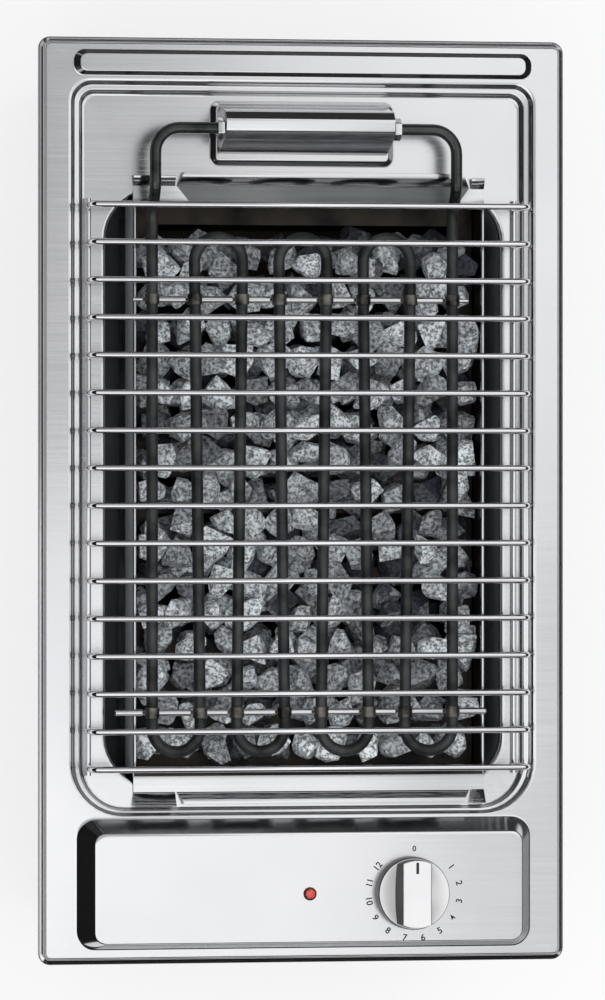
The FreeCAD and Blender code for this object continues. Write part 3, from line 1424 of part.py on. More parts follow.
def blade_spots():
    """Lower ends of the regulator's six blades: three along X in each of two rows."""
    low = bracket_top() - BRACKET_SHEET - REGULATOR_HEIGHT - BLADE_LENGTH
    offsets = [(k - 1) * BLADE_PITCH for k in range(3)]
    rows = [KNOB_Y + sign * BLADE_ROW_HALF for sign in (-1, 1)]
    return [[point(KNOB_X + dx, y, low) for dx in offsets] for y in rows]


def side_run(start, z, blade):
    """A wire from start down to z, along the right wall and up to a regulator blade."""
    wall = casing_half_x(z) - CASING_SHEET - WIRE_WALL_GAP
    last = start[-1]
    points = start + [
        point(last.x, last.y, z),
        point(wall, last.y, z),
        point(wall, blade.y, z),
        point(blade.x, blade.y, z),
        point(blade.x, blade.y, blade.z),
    ]
    route = rounded_route(points, [WIRE_TURN] * (len(points) - 2))
    return wire_along(route, WIRE, WIRE_SIDES)


def supply_wires():
    """Two wires from the terminal block along the right wall to the regulator."""
    rear_row = blade_spots()[1]
    wires = []
    for way in (1, 2):
        x = terminal_ways()[way]
        y = TERMINAL_Y - WIRE_START - way * WIRE_STEP
        start = [point(x, TERMINAL_Y - WIRE_PLUG, TERMINAL_WAY_Z), point(x, y, TERMINAL_WAY_Z)]
        level = SUPPLY_LEVEL + (way - 1) * WIRE_STEP
        wires.append(side_run(start, level, rear_row[way]))
    return group(wires)


def element_leads():
    """Heat-proof leads from the regulator along the right wall and up to the element's pins."""
    front_row = blade_spots()[0]
    leads = []
    for step, sign in enumerate((-1, 1)):
        x = HOUSING_CENTRE_X + sign * (ARM_END - LEAD_INSET)
        start = [point(x, PIVOT_Y, PIVOT_Z - TUBE / 4 - BUSH_CLEARANCE)]
        leads.append(side_run(start, LEAD_LEVEL + step * WIRE_STEP, front_row[2 - step]))
    return group(leads)


def lamp_wires():
    """Two short wires from the pilot lamp to the regulator."""
    wires = []
    for step, row in enumerate(blade_spots()):
        blade = row[0]
        x = LAMP_X + (2 * step - 1) * LAMP_BODY / 4
        z = PANEL - LAMP_WIRE_DROP + step * WIRE_STEP
        points = [
            point(x, KNOB_Y, PANEL - LAMP_LENGTH - LAMP_TAB_LENGTH),
            point(x, KNOB_Y, z),
            point(blade.x, blade.y, z),
            point(blade.x, blade.y, blade.z),
        ]
        route = rounded_route(points, [LAMP_WIRE_TURN] * 2)
        wires.append(wire_along(route, LAMP_WIRE, WIRE_SIDES))
    return group(wires)


def earth_wire():
    x = terminal_ways()[0]
    y = TERMINAL_Y - EARTH_WIRE_REACH
    points = [
        point(x, TERMINAL_Y - WIRE_PLUG, TERMINAL_WAY_Z),
        point(x, y, TERMINAL_WAY_Z),
        point(EARTH_X, y, TERMINAL_WAY_Z),
        point(EARTH_X, TERMINAL_Y - EARTH_STUD / 2, TERMINAL_WAY_Z),
    ]
    return wire_along(rounded_route(points, [WIRE_TURN] * 2), WIRE, WIRE_SIDES)


def blade_receptacles():
    """Push-on connectors between the wires and the regulator's blades."""
    connectors = []
    half_x = BLADE_WIDTH / 2
    wide = half_x + RECEPTACLE_WALL
    half_y = BLADE_SHEET / 2
    for row in blade_spots():
        for spot in row:
            x, y, z = spot.x, spot.y, spot.z
            y0, y1 = y - RECEPTACLE_HALF_Y, y + RECEPTACLE_HALF_Y
            body = block(x - wide, x + wide, y0, y1, z, z + RECEPTACLE_LENGTH)
            slot = block(x - half_x, x + half_x, y - half_y, y + half_y, z - 1, z + RECEPTACLE_LENGTH + 1)
            connectors.append(body.cut(slot))
    return group(connectors)


NODES = [
    hob_plate,
    rim_seal,
    grill_well,
    lava_tray,
    rock_rack,
    lava_rocks,
    heating_element,
    terminal_pins,
    element_clips,
    rear_support_rod,
    front_support_rod,
    rest_pins,
    spacer_tubes,
    element_nuts,
    terminal_cover,
    housing_end_plates,
    pivot_bushes,
    housing_seat,
    housing_screws,
    grid_bars,
    grid_rails,
    control_knob,
    regulator_spindle,
    regulator_bracket,
    energy_regulator,
    regulator_nut,
    lamp_bezel,
    lamp_lens,
    lamp_body,
    casing_floor,
    casing_sides,
    casing_ends,
    worktop_clamps,
    clamp_screws,
    casing_screws,
    heat_shield,
    cable_gland,
    terminal_block,
    terminal_screws,
    earth_stud,
    supply_wires,
    element_leads,
    lamp_wires,
    earth_wire,
    blade_receptacles,
]


def main():
    os.makedirs("parts", exist_ok=True)
    for make in NODES:
        shape = make()
        name = make.__name__
        shape.exportStep(f"parts/{name}.step")
        state = "ok" if shape.isValid() else "NOT VALID"
        print(f"{name}: {len(shape.Solids)} solids, {shape.Volume / 1000:.2f} cm3, {state}")


main()
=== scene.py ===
# %% [markdown]
# # A built-in electric grill
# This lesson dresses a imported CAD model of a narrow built-in grill: a pressed steel plate with a
# sunken field, a wire grid, a snaking heating tube over a tray of lava stones, and a control panel.
# The CAD bodies stay where they are. Blender adds true bends, round tubes, stones and finishes.
# Every shape is drawn in millimetres and scaled to metres once, when its piece is finished.

# %% Load the frame
import json
import math
import random

import bmesh
import bpy
from mathutils import Matrix, Vector


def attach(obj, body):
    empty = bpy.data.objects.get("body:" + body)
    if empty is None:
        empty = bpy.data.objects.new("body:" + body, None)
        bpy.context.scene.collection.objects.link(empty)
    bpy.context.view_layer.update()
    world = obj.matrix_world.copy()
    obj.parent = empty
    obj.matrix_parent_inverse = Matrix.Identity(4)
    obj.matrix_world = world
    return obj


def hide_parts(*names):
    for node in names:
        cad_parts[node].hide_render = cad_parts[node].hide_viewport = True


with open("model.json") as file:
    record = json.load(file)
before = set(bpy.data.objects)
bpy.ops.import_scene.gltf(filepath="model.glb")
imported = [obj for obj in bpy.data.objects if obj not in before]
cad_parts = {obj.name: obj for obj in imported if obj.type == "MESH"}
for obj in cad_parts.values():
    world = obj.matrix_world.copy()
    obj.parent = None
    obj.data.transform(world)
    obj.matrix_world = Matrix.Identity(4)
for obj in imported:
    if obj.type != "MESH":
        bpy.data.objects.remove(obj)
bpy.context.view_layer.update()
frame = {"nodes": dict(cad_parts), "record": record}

MM = 0.001
scene = bpy.context.scene

# %% [markdown]
# Heights first. The real plate hangs in a worktop, so everything is measured from the worktop and
# from the flat border of the plate. Naming the levels once keeps every later piece on its seat.

# %% Levels of the pressed plate
WORKTOP = 150.0
FIELD_DEPTH = 7.0
BORDER = WORKTOP + 6.5
LEDGE = BORDER - FIELD_DEPTH
PANEL = BORDER + 9.0
RUN_Z = BORDER + 3.5
PIVOT = Vector((0.0, 204.5, BORDER + 15.0))
TUBE = 6.5
ROD = 2.4
SLEEVE = 3.8
CLIP = 0.8
FIT = 0.05
ROD_LEVEL = RUN_Z - TUBE / 2 - FIT - CLIP - ROD / 2
TRAY_TOP = ROD_LEVEL - SLEEVE / 2 - 0.3
print("border", BORDER, "sunken field", LEDGE, "panel", PANEL)

# %% [markdown]
# Materials need a few effects again and again: the fine lines that a brush leaves in steel, and
# soft cloudy change that keeps a surface from looking printed. Each is a node group with its own
# inputs, built once. A group gives out values only, and the shader itself stays in the material.
# Brushing belongs on flats, so the lines have a depth, which later follows a value on each face.
# A small helper adds a node and fills its inputs from a table, so each effect reads as a few lines.

# %% Effects shared by the finishes


def feed(tree, node, inputs):
    """Join each input in a table to a socket, or set it to a constant."""
    for key, value in inputs.items():
        if isinstance(value, bpy.types.NodeSocket):
            tree.links.new(value, node.inputs[key])
        else:
            node.inputs[key].default_value = value


def add_node(tree, kind, inputs, **settings):
    """A shader node with its settings and its inputs."""
    node = tree.nodes.new("ShaderNode" + kind)
    for key, value in settings.items():
        setattr(node, key, value)
    feed(tree, node, inputs)
    return node


def maths(tree, operation, *values):
    """The result of a calculation with sockets and constants."""
    return add_node(tree, "Math", dict(enumerate(values)), operation=operation).outputs[0]


def new_group(name, vectors, numbers, results):
    """An empty shader node group with the named sockets."""
    group = bpy.data.node_groups.new(name, "ShaderNodeTree")
    sockets = (vectors, "INPUT", "Vector"), (numbers, "INPUT", "Float"), (results, "OUTPUT", "Float")
    for labels, way, kind in sockets:
        for label in labels:
            group.interface.new_socket(label, in_out=way, socket_type="NodeSocket" + kind)
    return group, group.nodes.new("NodeGroupInput").outputs, group.nodes.new("NodeGroupOutput")


def brushed_lines():
    """Long thin lines along one direction, and broad soft bands beside them."""
    group, given, result = new_group("brushed_lines", ["Place", "Stretch"], ["Bands", "Depth"], ["Lines", "Cloud"])
    scaled = add_node(group, "VectorMath", {0: given["Place"], 1: given["Stretch"]}, operation="MULTIPLY")
    fine = add_node(group, "TexNoise", {"Vector": scaled.outputs[0], "Scale": 1.0, "Detail": 4.0})
    cloud = add_node(group, "TexNoise", {"Vector": given["Place"], "Scale": given["Bands"], "Detail": 2.0})
    centred = maths(group, "SUBTRACT", fine.outputs["Fac"], 0.5)
    deep = maths(group, "MULTIPLY_ADD", centred, given["Depth"], 0.5)
    feed(group, result, {"Lines": deep, "Cloud": cloud.outputs["Fac"]})
    return group


def cast_grain():
    """Grain of moulded, cast or sooty surfaces: pits, lumps and a slow change of tone."""
    group, given, result = new_group("cast_grain", ["Place"], ["Size", "Patches"], ["Grain", "Patch"])
    place = given["Place"]
    grain = add_node(group, "TexNoise", {"Vector": place, "Scale": given["Size"], "Detail": 6.0, "Roughness": 0.65})
    patch = add_node(group, "TexNoise", {"Vector": place, "Scale": given["Patches"], "Detail": 3.0})
    feed(group, result, {"Grain": grain.outputs["Fac"], "Patch": patch.outputs["Fac"]})
    return group


BRUSHED = brushed_lines()
GRAIN = cast_grain()
print("node groups:", [group.name for group in bpy.data.node_groups])

# %% [markdown]
# A finish is a Principled shader whose colour, roughness and bump are driven by one of the effects.
# Two recipes cover the whole grill: sheet and wire are "brushed", everything moulded, cast or sooty
# is "grained". Both read Object coordinates, which are real metres because no object is moved.

# %% Recipes for finishes
FINISHES = {}


def start_finish(name, metal, coat=0.0):
    """A new material under its name. Its tree, its shader and its place in metres are given back."""
    FINISHES[name] = bpy.data.materials.new(name)
    FINISHES[name].use_nodes = True
    tree = FINISHES[name].node_tree
    shader = tree.nodes["Principled BSDF"]
    feed(tree, shader, {"Metallic": metal, "Coat Weight": coat})
    return tree, shader, add_node(tree, "TexCoord", {}).outputs["Object"]


def ranged(tree, value, low, high, out_low, out_high):
    """Map a value that mostly lies between low and high to a new range."""
    inputs = {"Value": value, "From Min": low, "From Max": high, "To Min": out_low, "To Max": out_high}
    return add_node(tree, "MapRange", inputs).outputs["Result"]


def blended(tree, factor, dark, light):
    """Mix two colours, each of them a constant or a socket."""
    dark, light = [(*end, 1.0) if isinstance(end, tuple) else end for end in (dark, light)]
    return add_node(tree, "Mix", {"Factor": factor, "A": dark, "B": light}, data_type="RGBA").outputs["Result"]


def shared_out(tree, first, second, share):
    """A share of one value and the rest of another."""
    return maths(tree, "MULTIPLY_ADD", first, share, maths(tree, "MULTIPLY", second, 1.0 - share))


def bumped(tree, shader, height, strength, distance):
    node = add_node(tree, "Bump", {"Strength": strength, "Distance": distance, "Height": height})
    feed(tree, shader, {"Normal": node.outputs["Normal"]})


def face_value(tree, name):
    return add_node(tree, "Attribute", {}, attribute_name=name).outputs["Fac"]


def grain_of(tree, place, size, patches):
    """The outputs of the grain group, which are called Grain and Patch."""
    return add_node(tree, "Group", {"Place": place, "Size": size, "Patches": patches}, node_tree=GRAIN).outputs


def brushed_finish(name, dark, light, stretch, rough, bump=0.04, bands=9.0, metal=1.0):
    """Metal with lines along the direction that is stretched least; folds are smoother than flats."""
    tree, shader, place = start_finish(name, metal)
    level = face_value(tree, "flatness")
    inputs = {"Place": place, "Stretch": stretch, "Bands": bands, "Depth": ranged(tree, level, 0.0, 1.0, 0.12, 1.0)}
    lines = add_node(tree, "Group", inputs, node_tree=BRUSHED).outputs
    tone = ranged(tree, shared_out(tree, lines["Lines"], lines["Cloud"], 0.45), 0.36, 0.64, 0.0, 1.0)
    gloss = ranged(tree, lines["Lines"], 0.3, 0.7, *rough)
    folds = maths(tree, "MULTIPLY", gloss, ranged(tree, level, 0.0, 1.0, 0.5, 1.0))
    feed(tree, shader, {"Base Color": blended(tree, tone, dark, light), "Roughness": folds})
    bumped(tree, shader, lines["Lines"], bump, 0.0002)


def grained_finish(name, dark, light, size, patches, rough, bump=0.3, depth=0.0004, metal=0.0, coat=0.0):
    """Moulded, cast, painted or sooty surface with pits and a slow change of tone."""
    tree, shader, place = start_finish(name, metal, coat)
    grain = grain_of(tree, place, size, patches)
    tone = ranged(tree, shared_out(tree, grain["Grain"], grain["Patch"], 0.5), 0.35, 0.65, 0.0, 1.0)
    gloss = ranged(tree, grain["Patch"], 0.3, 0.7, *rough)
    feed(tree, shader, {"Base Color": blended(tree, tone, dark, light), "Roughness": gloss})
    bumped(tree, shader, grain["Grain"], bump, depth)


# %% [markdown]
# Now the finishes by name. The plate is brushed from side to side, so its lines are long in X. The
# grid is drawn wire with hardly any line. The tube is steel that red heat has turned grey black.
# Colours are what the surface has, not what the lamps do to it.

# %% Steel, wire and sheet
brushed_finish("plate_steel", (0.59, 0.60, 0.62), (0.67, 0.67, 0.68), (10.0, 1300.0, 1300.0), (0.19, 0.27),
               bump=0.05)
brushed_finish("fold_steel", (0.54, 0.55, 0.57), (0.66, 0.66, 0.67), (12.0, 1100.0, 1100.0), (0.15, 0.24))
brushed_finish("wire_steel", (0.62, 0.62, 0.64), (0.72, 0.72, 0.74), (30.0, 300.0, 300.0), (0.14, 0.26), bump=0.02)
brushed_finish("bright_steel", (0.52, 0.52, 0.53), (0.68, 0.68, 0.69), (60.0, 500.0, 500.0), (0.14, 0.26),
               bump=0.03)
# Painted reflection: a dark grey steel for the flat apron behind the tray.
brushed_finish("apron_painted_reflection", (0.10, 0.11, 0.11), (0.19, 0.20, 0.20), (10.0, 300.0, 500.0), (0.30, 0.46), bands=18.0,
               metal=0.6)
brushed_finish("well_steel", (0.34, 0.37, 0.39), (0.48, 0.51, 0.53), (10.0, 60.0, 500.0), (0.40, 0.56), bands=18.0,
               metal=0.45)
brushed_finish("turned_brass", (0.50, 0.35, 0.12), (0.66, 0.48, 0.19), (300.0, 300.0, 40.0), (0.24, 0.38),
               bump=0.03)
print(len(FINISHES), "metal finishes")

# %% [markdown]
# The rest is moulded, woven or fired. The knob is lacquered silver on its face. The flanks of its
# grip and the outer wall of its skirt are painted nearly black as shade, which a value on those
# faces tells the shader.

# %% Moulded, woven and fired finishes
grained_finish("seal_rubber", (0.018, 0.018, 0.019), (0.032, 0.032, 0.034), 1500.0, 80.0, (0.6, 0.8))
grained_finish("knob_silver", (0.72, 0.72, 0.73), (0.80, 0.80, 0.81), 2500.0, 40.0, (0.30, 0.40), bump=0.05,
               depth=0.0001, metal=0.25)
tree = FINISHES["knob_silver"].node_tree
shader = tree.nodes["Principled BSDF"]
silver = shader.inputs["Base Color"].links[0].from_socket
# Painted shade: faces with that value turn nearly black.
shaded = blended(tree, face_value(tree, "painted_shade"), silver, (0.035, 0.035, 0.038))
feed(tree, shader, {"Base Color": shaded, "Specular IOR Level": 0.2})
grained_finish("dark_brown_moulding", (0.035, 0.022, 0.016), (0.060, 0.040, 0.030), 1200.0, 90.0, (0.4, 0.6))
grained_finish("lamp_black", (0.012, 0.012, 0.013), (0.024, 0.024, 0.026), 2000.0, 90.0, (0.25, 0.4))
grained_finish("lamp_red", (0.42, 0.022, 0.010), (0.66, 0.050, 0.022), 900.0, 300.0, (0.08, 0.16), bump=0.05,
               coat=0.8)
grained_finish("lamp_white", (0.58, 0.57, 0.53), (0.70, 0.69, 0.65), 1500.0, 60.0, (0.4, 0.55))
grained_finish("gland_black", (0.018, 0.019, 0.020), (0.035, 0.036, 0.038), 1600.0, 90.0, (0.45, 0.6))
grained_finish("glazed_white", (0.70, 0.68, 0.62), (0.80, 0.78, 0.73), 500.0, 50.0, (0.10, 0.22), coat=0.5)
grained_finish("wire_insulation_grey", (0.035, 0.036, 0.038), (0.060, 0.061, 0.064), 1500.0, 60.0, (0.5, 0.65))
grained_finish("glass_sleeve", (0.55, 0.50, 0.42), (0.72, 0.68, 0.60), 2600.0, 120.0, (0.7, 0.9), bump=0.6)
grained_finish("earth_green", (0.12, 0.30, 0.03), (0.34, 0.42, 0.04), 900.0, 140.0, (0.5, 0.65))
grained_finish("dial_ink", (0.004, 0.004, 0.005), (0.009, 0.009, 0.010), 2500.0, 120.0, (0.5, 0.6), bump=0.05)
print(len(FINISHES), "finishes so far")

# %% [markdown]
# Heat leaves its own traces. The tube is matt grey black where it glows and keeps a dark gloss on
# its arms, so the roughness follows the Y coordinate. The tray is nearly black and slightly brown
# inside, and its front rim takes that dark as painted shadow, while the outer side of its walls is
# still bright: there the mask is the distance from its middle.

# %% Finishes that heat has changed, and the tray


def axis_value(tree, place, axis):
    return add_node(tree, "SeparateXYZ", {0: place}).outputs[axis]


def burnt(name, metal, dark, light, size, patches, bump, depth):
    """A shader whose colour is mottled by the grain group, with its roughness still open."""
    tree, shader, place = start_finish(name, metal)
    grain = grain_of(tree, place, size, patches)
    tone = blended(tree, ranged(tree, grain["Patch"], 0.36, 0.64, 0.0, 1.0), dark, light)
    bumped(tree, shader, grain["Grain"], bump, depth)
    return tree, shader, place, tone, grain["Patch"]


tree, shader, place, tone, patch = burnt("burnt_tube", 0.6, (0.016, 0.018, 0.018), (0.060, 0.064, 0.062), 900.0,
                                         70.0, 0.16, 0.0002)
gloss = ranged(tree, axis_value(tree, place, 1), 0.150, 0.172, 0.46, 0.11)
feed(tree, shader, {"Base Color": tone, "Roughness": gloss})

tree, shader, place, tone, patch = burnt("clip_steel", 0.8, (0.022, 0.021, 0.019), (0.20, 0.19, 0.17), 500.0,
                                         95.0, 0.10, 0.0002)
feed(tree, shader, {"Base Color": tone, "Roughness": ranged(tree, patch, 0.3, 0.7, 0.24, 0.42)})

# The tray finish: nearly black and slightly brown, which on the front rim is painted shadow.
tree, shader, place, tone, patch = burnt("tray_steel", 0.0, (0.006, 0.005, 0.005), (0.040, 0.033, 0.026), 300.0,
                                         38.0, 0.10, 0.0003)
TRAY_MIDDLE = 0.00415
across = maths(tree, "SUBTRACT", axis_value(tree, place, 0), TRAY_MIDDLE)
outside = ranged(tree, maths(tree, "ABSOLUTE", across), 0.0980, 0.0983, 0.0, 1.0)
feed(tree, shader, {"Base Color": blended(tree, outside, tone, (0.56, 0.60, 0.63)),
                    "Metallic": ranged(tree, outside, 0.0, 1.0, 0.75, 0.30),
                    "Roughness": ranged(tree, patch, 0.3, 0.7, 0.30, 0.46)})
print("heat-changed finishes ready")

# %% [markdown]
# Galvanised sheet shows a spangle: the zinc froze in flat crystals of a centimetre or so, and each
# throws the light back a little differently. Voronoi cells are that pattern. The random colour of a
# cell gives two numbers, one for the cell's tone and one for its roughness.

# %% Zinc spangle
tree, shader, place = start_finish("zinc_sheet", 0.6)
crystals = add_node(tree, "TexVoronoi", {"Vector": place, "Scale": 105.0})
draw = add_node(tree, "SeparateColor", {0: crystals.outputs["Color"]}).outputs
feed(tree, shader, {"Base Color": blended(tree, draw["Red"], (0.40, 0.42, 0.44), (0.60, 0.62, 0.64)),
                    "Roughness": ranged(tree, draw["Green"], 0.0, 1.0, 0.36, 0.54)})
bumped(tree, shader, grain_of(tree, place, 700.0, 30.0)["Grain"], 0.10, 0.0002)
print("zinc finish ready")

# %% [markdown]
# Lava is a frothy stone: bluish grey, each lump a little different, with pale crystals and black
# pores. Each face carries a tone value that its stone was given, so neighbours differ; the value
# also holds painted shade, darker for the lower layers of stones. The pores come from a Voronoi
# pattern that darkens the colour.

# %% Lava stone
tree, shader, place = start_finish("lava_stone", 0.0)
grain = grain_of(tree, place, 430.0, 120.0)
pores = add_node(tree, "TexVoronoi", {"Vector": place, "Scale": 520.0})
colour = blended(tree, face_value(tree, "tone_and_depth_shade"), (0.036, 0.038, 0.055), (0.90, 0.96, 1.0))
flecks = ranged(tree, grain["Grain"], 0.40, 0.58, 0.25, 1.35)
pits = ranged(tree, pores.outputs["Distance"], 0.05, 0.40, 0.25, 1.0)
for amount in (flecks, pits):
    colour = add_node(tree, "VectorMath", {0: colour, "Scale": amount}, operation="SCALE").outputs[0]
feed(tree, shader, {"Base Color": colour, "Roughness": ranged(tree, grain["Patch"], 0.3, 0.7, 0.55, 0.85)})
bumped(tree, shader, grain["Grain"], 0.9, 0.0012)
print("stone finish ready")

# %% [markdown]
# Every CAD node has a slot in the record, and every piece is given the name of one. A slot has the
# finish of its own name, unless this table names another.

# %% Finish of each slot
SLOT_FINISH = {
    "brushed_stainless": "plate_steel", "plain_steel": "tray_steel", "galvanised_steel": "zinc_sheet",
    "element_sheath": "burnt_tube", "knob_plastic": "knob_silver", "bakelite": "dark_brown_moulding",
    "gland_plastic": "gland_black", "porcelain": "glazed_white", "terminal_brass": "turned_brass",
    "wire_insulation": "wire_insulation_grey", "lead_sleeve": "glass_sleeve", "earth_insulation": "earth_green",
}


def slot_finish(slot):
    return FINISHES[SLOT_FINISH.get(slot, slot)]


print(len(FINISHES), "finishes in all")

# %% [markdown]
# The helpers that shape sheet metal. A rounded outline is a one-face grid whose four corners are
# bevelled, with the face taken away so that its edge loop stays. Loops at rising or falling heights
# are bridged into a wall. A press wall is two bends with a straight slope between them, and its
# angle follows from the width and the depth that the wall has to cover.

# %% Outlines and walls


class Plan:
    """A rectangle in plan with rounded corners, front and rear corners on their own."""

    def __init__(self, left, right, front, rear, front_radius, rear_radius=None):
        self.values = [left, right, front, rear, front_radius, rear_radius or front_radius]

    def grown(self, side, rear=None):
        """Every side moved out by an amount, the rear one by its own where that is given."""
        rear = side if rear is None else rear
        left, right, low, high, r_front, r_rear = self.values
        return Plan(left - side, right + side, low - side, high + rear, max(r_front + side, 0.5),
                    max(r_rear + min(side, rear), 0.5))

    def towards(self, other, share):
        return Plan(*[a * (1 - share) + b * share for a, b in zip(self.values, other.values)])


def bevelled(bm, geom, offset, segments, affect="EDGES"):
    return bmesh.ops.bevel(bm, geom=geom, offset=offset, offset_type="OFFSET", segments=segments, profile=0.5,
                           affect=affect, material=-1)


def loop_of(bm, plan, z, steps):
    """The edge loop of a plan at a height."""
    left, right, front, rear, r_front, r_rear = plan.values
    corners = bmesh.ops.create_grid(bm, x_segments=1, y_segments=1, size=1.0)["verts"]
    for corner in corners:
        corner.co = (right if corner.co.x > 0 else left, rear if corner.co.y > 0 else front, z)
    middle = (front + rear) / 2
    pairs = ([v for v in corners if v.co.y < middle], r_front), ([v for v in corners if v.co.y > middle], r_rear)
    for pair, radius in pairs:
        made = bevelled(bm, pair, radius, steps, "VERTICES")
    face = made["verts"][0].link_faces[0]
    edges = list(face.edges)
    bmesh.ops.delete(bm, geom=[face], context="FACES_ONLY")
    return edges


def wall(bm, levels, steps=9):
    """Bridge plans at their heights; the first and the last loop are given back."""
    loops = [loop_of(bm, plan, z, steps) for plan, z in levels]
    for lower, upper in zip(loops, loops[1:]):
        bmesh.ops.bridge_loops(bm, edges=lower + upper)
    return loops[0], loops[-1]


def flat_between(bm, *loops):
    """Fill a flat area that lies between loops."""
    edges = [edge for loop in loops for edge in loop]
    bmesh.ops.triangle_fill(bm, use_beauty=True, use_dissolve=False, edges=edges, normal=(0, 0, 1))


def press_profile(run, drop, top, foot, steps=4):
    """Shares of run and drop along a press wall with two bends of the given radii."""
    both = top + foot
    reach = math.hypot(run, both - drop)
    angle = math.asin(min(1.0, both / reach)) - math.atan2(both - drop, run)
    turns = [angle * k / steps for k in range(steps + 1)]
    spots = [(top * math.sin(turn), top * (1 - math.cos(turn))) for turn in turns]
    spots += [(run - foot * math.sin(turn), drop - foot * (1 - math.cos(turn))) for turn in reversed(turns)]
    return [(x / run, z / drop) for x, z in spots]


def press_wall(bm, high, high_z, low, low_z, top, foot, run, steps=9):
    """A press wall from one plan down to another."""
    profile = press_profile(run, high_z - low_z, top, foot)
    return wall(bm, [(high.towards(low, along), high_z + (low_z - high_z) * down) for along, down in profile], steps)


def mesh_of(name, bm):
    """The mesh of a finished sketch, which is then let go."""
    mesh = bpy.data.meshes.new(name)
    bm.to_mesh(mesh)
    bm.free()
    return mesh


def finish_piece(name, bm, body, slot, finish=None, sheet=0.0, crease=40.0, upward=False, weighted=False):
    """Clean and scale a piece, mark its flats, and give it its wall, its finish and its body."""
    bmesh.ops.remove_doubles(bm, verts=bm.verts, dist=0.002)
    bmesh.ops.recalc_face_normals(bm, faces=bm.faces)
    if upward and sum(face.normal.z * face.calc_area() for face in bm.faces) < 0:
        bmesh.ops.reverse_faces(bm, faces=bm.faces)
    bmesh.ops.scale(bm, vec=(MM, MM, MM), verts=bm.verts)
    level = bm.faces.layers.float.new("flatness")
    for face in bm.faces:
        face[level] = 1.0 if abs(face.normal.z) > 0.985 else 0.0
    return dress(name, mesh_of(name, bm), body, slot, finish, sheet, crease, weighted)


def dress(name, mesh, body, slot, finish=None, sheet=0.0, crease=40.0, weighted=False):
    mesh.shade_smooth()
    mesh.set_sharp_from_angle(angle=math.radians(crease))
    piece = bpy.data.objects.new(name, mesh)
    scene.collection.objects.link(piece)
    mesh.materials.clear()
    mesh.materials.append(FINISHES[finish] if finish else slot_finish(slot))
    if sheet:
        thick = piece.modifiers.new("sheet", "SOLIDIFY")
        thick.thickness = sheet * MM
        thick.offset = -1.0
        thick.use_even_offset = True
    if sheet or weighted:
        flat = piece.modifiers.new("flats_stay_flat", "WEIGHTED_NORMAL")
        flat.keep_sharp = True
        flat.weight = 90
    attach(piece, body)
    print(name, len(mesh.polygons), "faces")
    return piece


# %% [markdown]
# The top plate is one pressed sheet. From the outside in: an upright hem, a short slope, a small
# step that shows as a dark line all round, and the flat border. The border is filled flat between
# the outer loop and the loops of the sunken field, the control panel and the rear pad. Solidify
# then gives the sheet its thickness downwards. The wall of the sunken field is pressed in two
# steps, which shows as two dark lines, so its shares of run and drop are written out.

# %% Top plate
EDGE = Plan(-147.5, 147.5, -255.0, 255.0, 6.5)
RECESS = Plan(-131.5, 131.5, -174.0, 232.6, 30.0, 12.5)
FLOOR = Plan(-121.5, 121.5, -168.5, 222.5, 23.0, 6.0)
PANEL_FOOT = Plan(-128.2, 128.2, -247.0, -173.9, 11.0)
PANEL_TOP = Plan(-115.9, 120.6, -242.6, -184.6, 5.5)
PAD_FOOT = Plan(-129.5, 129.5, 233.4, 248.2, 6.5)
PAD_TOP = Plan(-123.9, 123.9, 236.4, 245.2, 3.5)
OPENING = Plan(-109.5, 112.5, -156.5, 170.5, 27.0)

bm = bmesh.new()
rim = [(0.0, 150.3), (0.0, 151.9), (0.25, 152.35), (0.7, 152.6), (2.35, 153.3), (2.7, 153.6), (2.95, 154.3),
       (3.2, 155.3), (3.5, 155.95), (4.0, 156.35), (5.0, BORDER)]
field = wall(bm, [(EDGE.grown(-inset), z) for inset, z in rim])[1]
TWO_STEPS = [(0, 0), (0.10, 0.01), (0.19, 0.06), (0.26, 0.16), (0.32, 0.30), (0.36, 0.40), (0.40, 0.45),
             (0.45, 0.47), (0.60, 0.485), (0.65, 0.50), (0.69, 0.55), (0.73, 0.65), (0.78, 0.80), (0.83, 0.91),
             (0.90, 0.98), (1, 1)]
steps_down = [(RECESS.towards(FLOOR, along), BORDER - FIELD_DEPTH * down) for along, down in TWO_STEPS]
recess_top, recess_foot = wall(bm, steps_down)
panel_top, panel_foot = press_wall(bm, PANEL_TOP, PANEL, PANEL_FOOT, BORDER, 1.6, 1.2, 7.0)
pad_top, pad_foot = press_wall(bm, PAD_TOP, BORDER + 2.4, PAD_FOOT, BORDER, 1.0, 1.2, 3.6, 7)
flat_between(bm, field, recess_top, panel_foot, pad_foot)
flat_between(bm, panel_top)
flat_between(bm, pad_top)
ROLL = 2.5
quarter = [math.pi / 2 * k / 5 for k in range(6)]
roll = [(OPENING.grown(ROLL * (1 - math.sin(t))), LEDGE - ROLL * (1 - math.cos(t))) for t in quarter]
mouth = wall(bm, roll + [(OPENING, LEDGE - 2 * ROLL)])[0]
flat_between(bm, recess_foot, mouth)
top_plate = finish_piece("top_plate", bm, "body", "brushed_stainless", sheet=1.0, upward=True)
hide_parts("hob_plate")

# %% [markdown]
# The terminal hood stands on a small pressed seat. Its section is drawn as an open line of points,
# pushed along X, and its folds are bevelled. The photograph shows a narrow bright top facet with
# darker facets on both sides, so the section is not symmetrical.

# %% Hood, its seat and its end plates
SEAT_TOP = LEDGE + 2.5
bm = bmesh.new()
seat_foot = Plan(-51.8, 51.8, 184.4, 220.6, 5.5)
seat_top = seat_foot.grown(-4.0, -3.4)
flat_between(bm, press_wall(bm, seat_top, SEAT_TOP, seat_foot, LEDGE, 1.2, 1.2, 4.0, 6)[0])
hood_seat = finish_piece("hood_seat", bm, "body", "brushed_stainless", "fold_steel", sheet=0.8, upward=True)
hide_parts("housing_seat")


def moved_out(bm, made, shift):
    """Move the corners that an extrusion made, and give them back."""
    spots = [item for item in made["geom"] if isinstance(item, bmesh.types.BMVert)]
    bmesh.ops.translate(bm, vec=shift, verts=spots)
    return spots


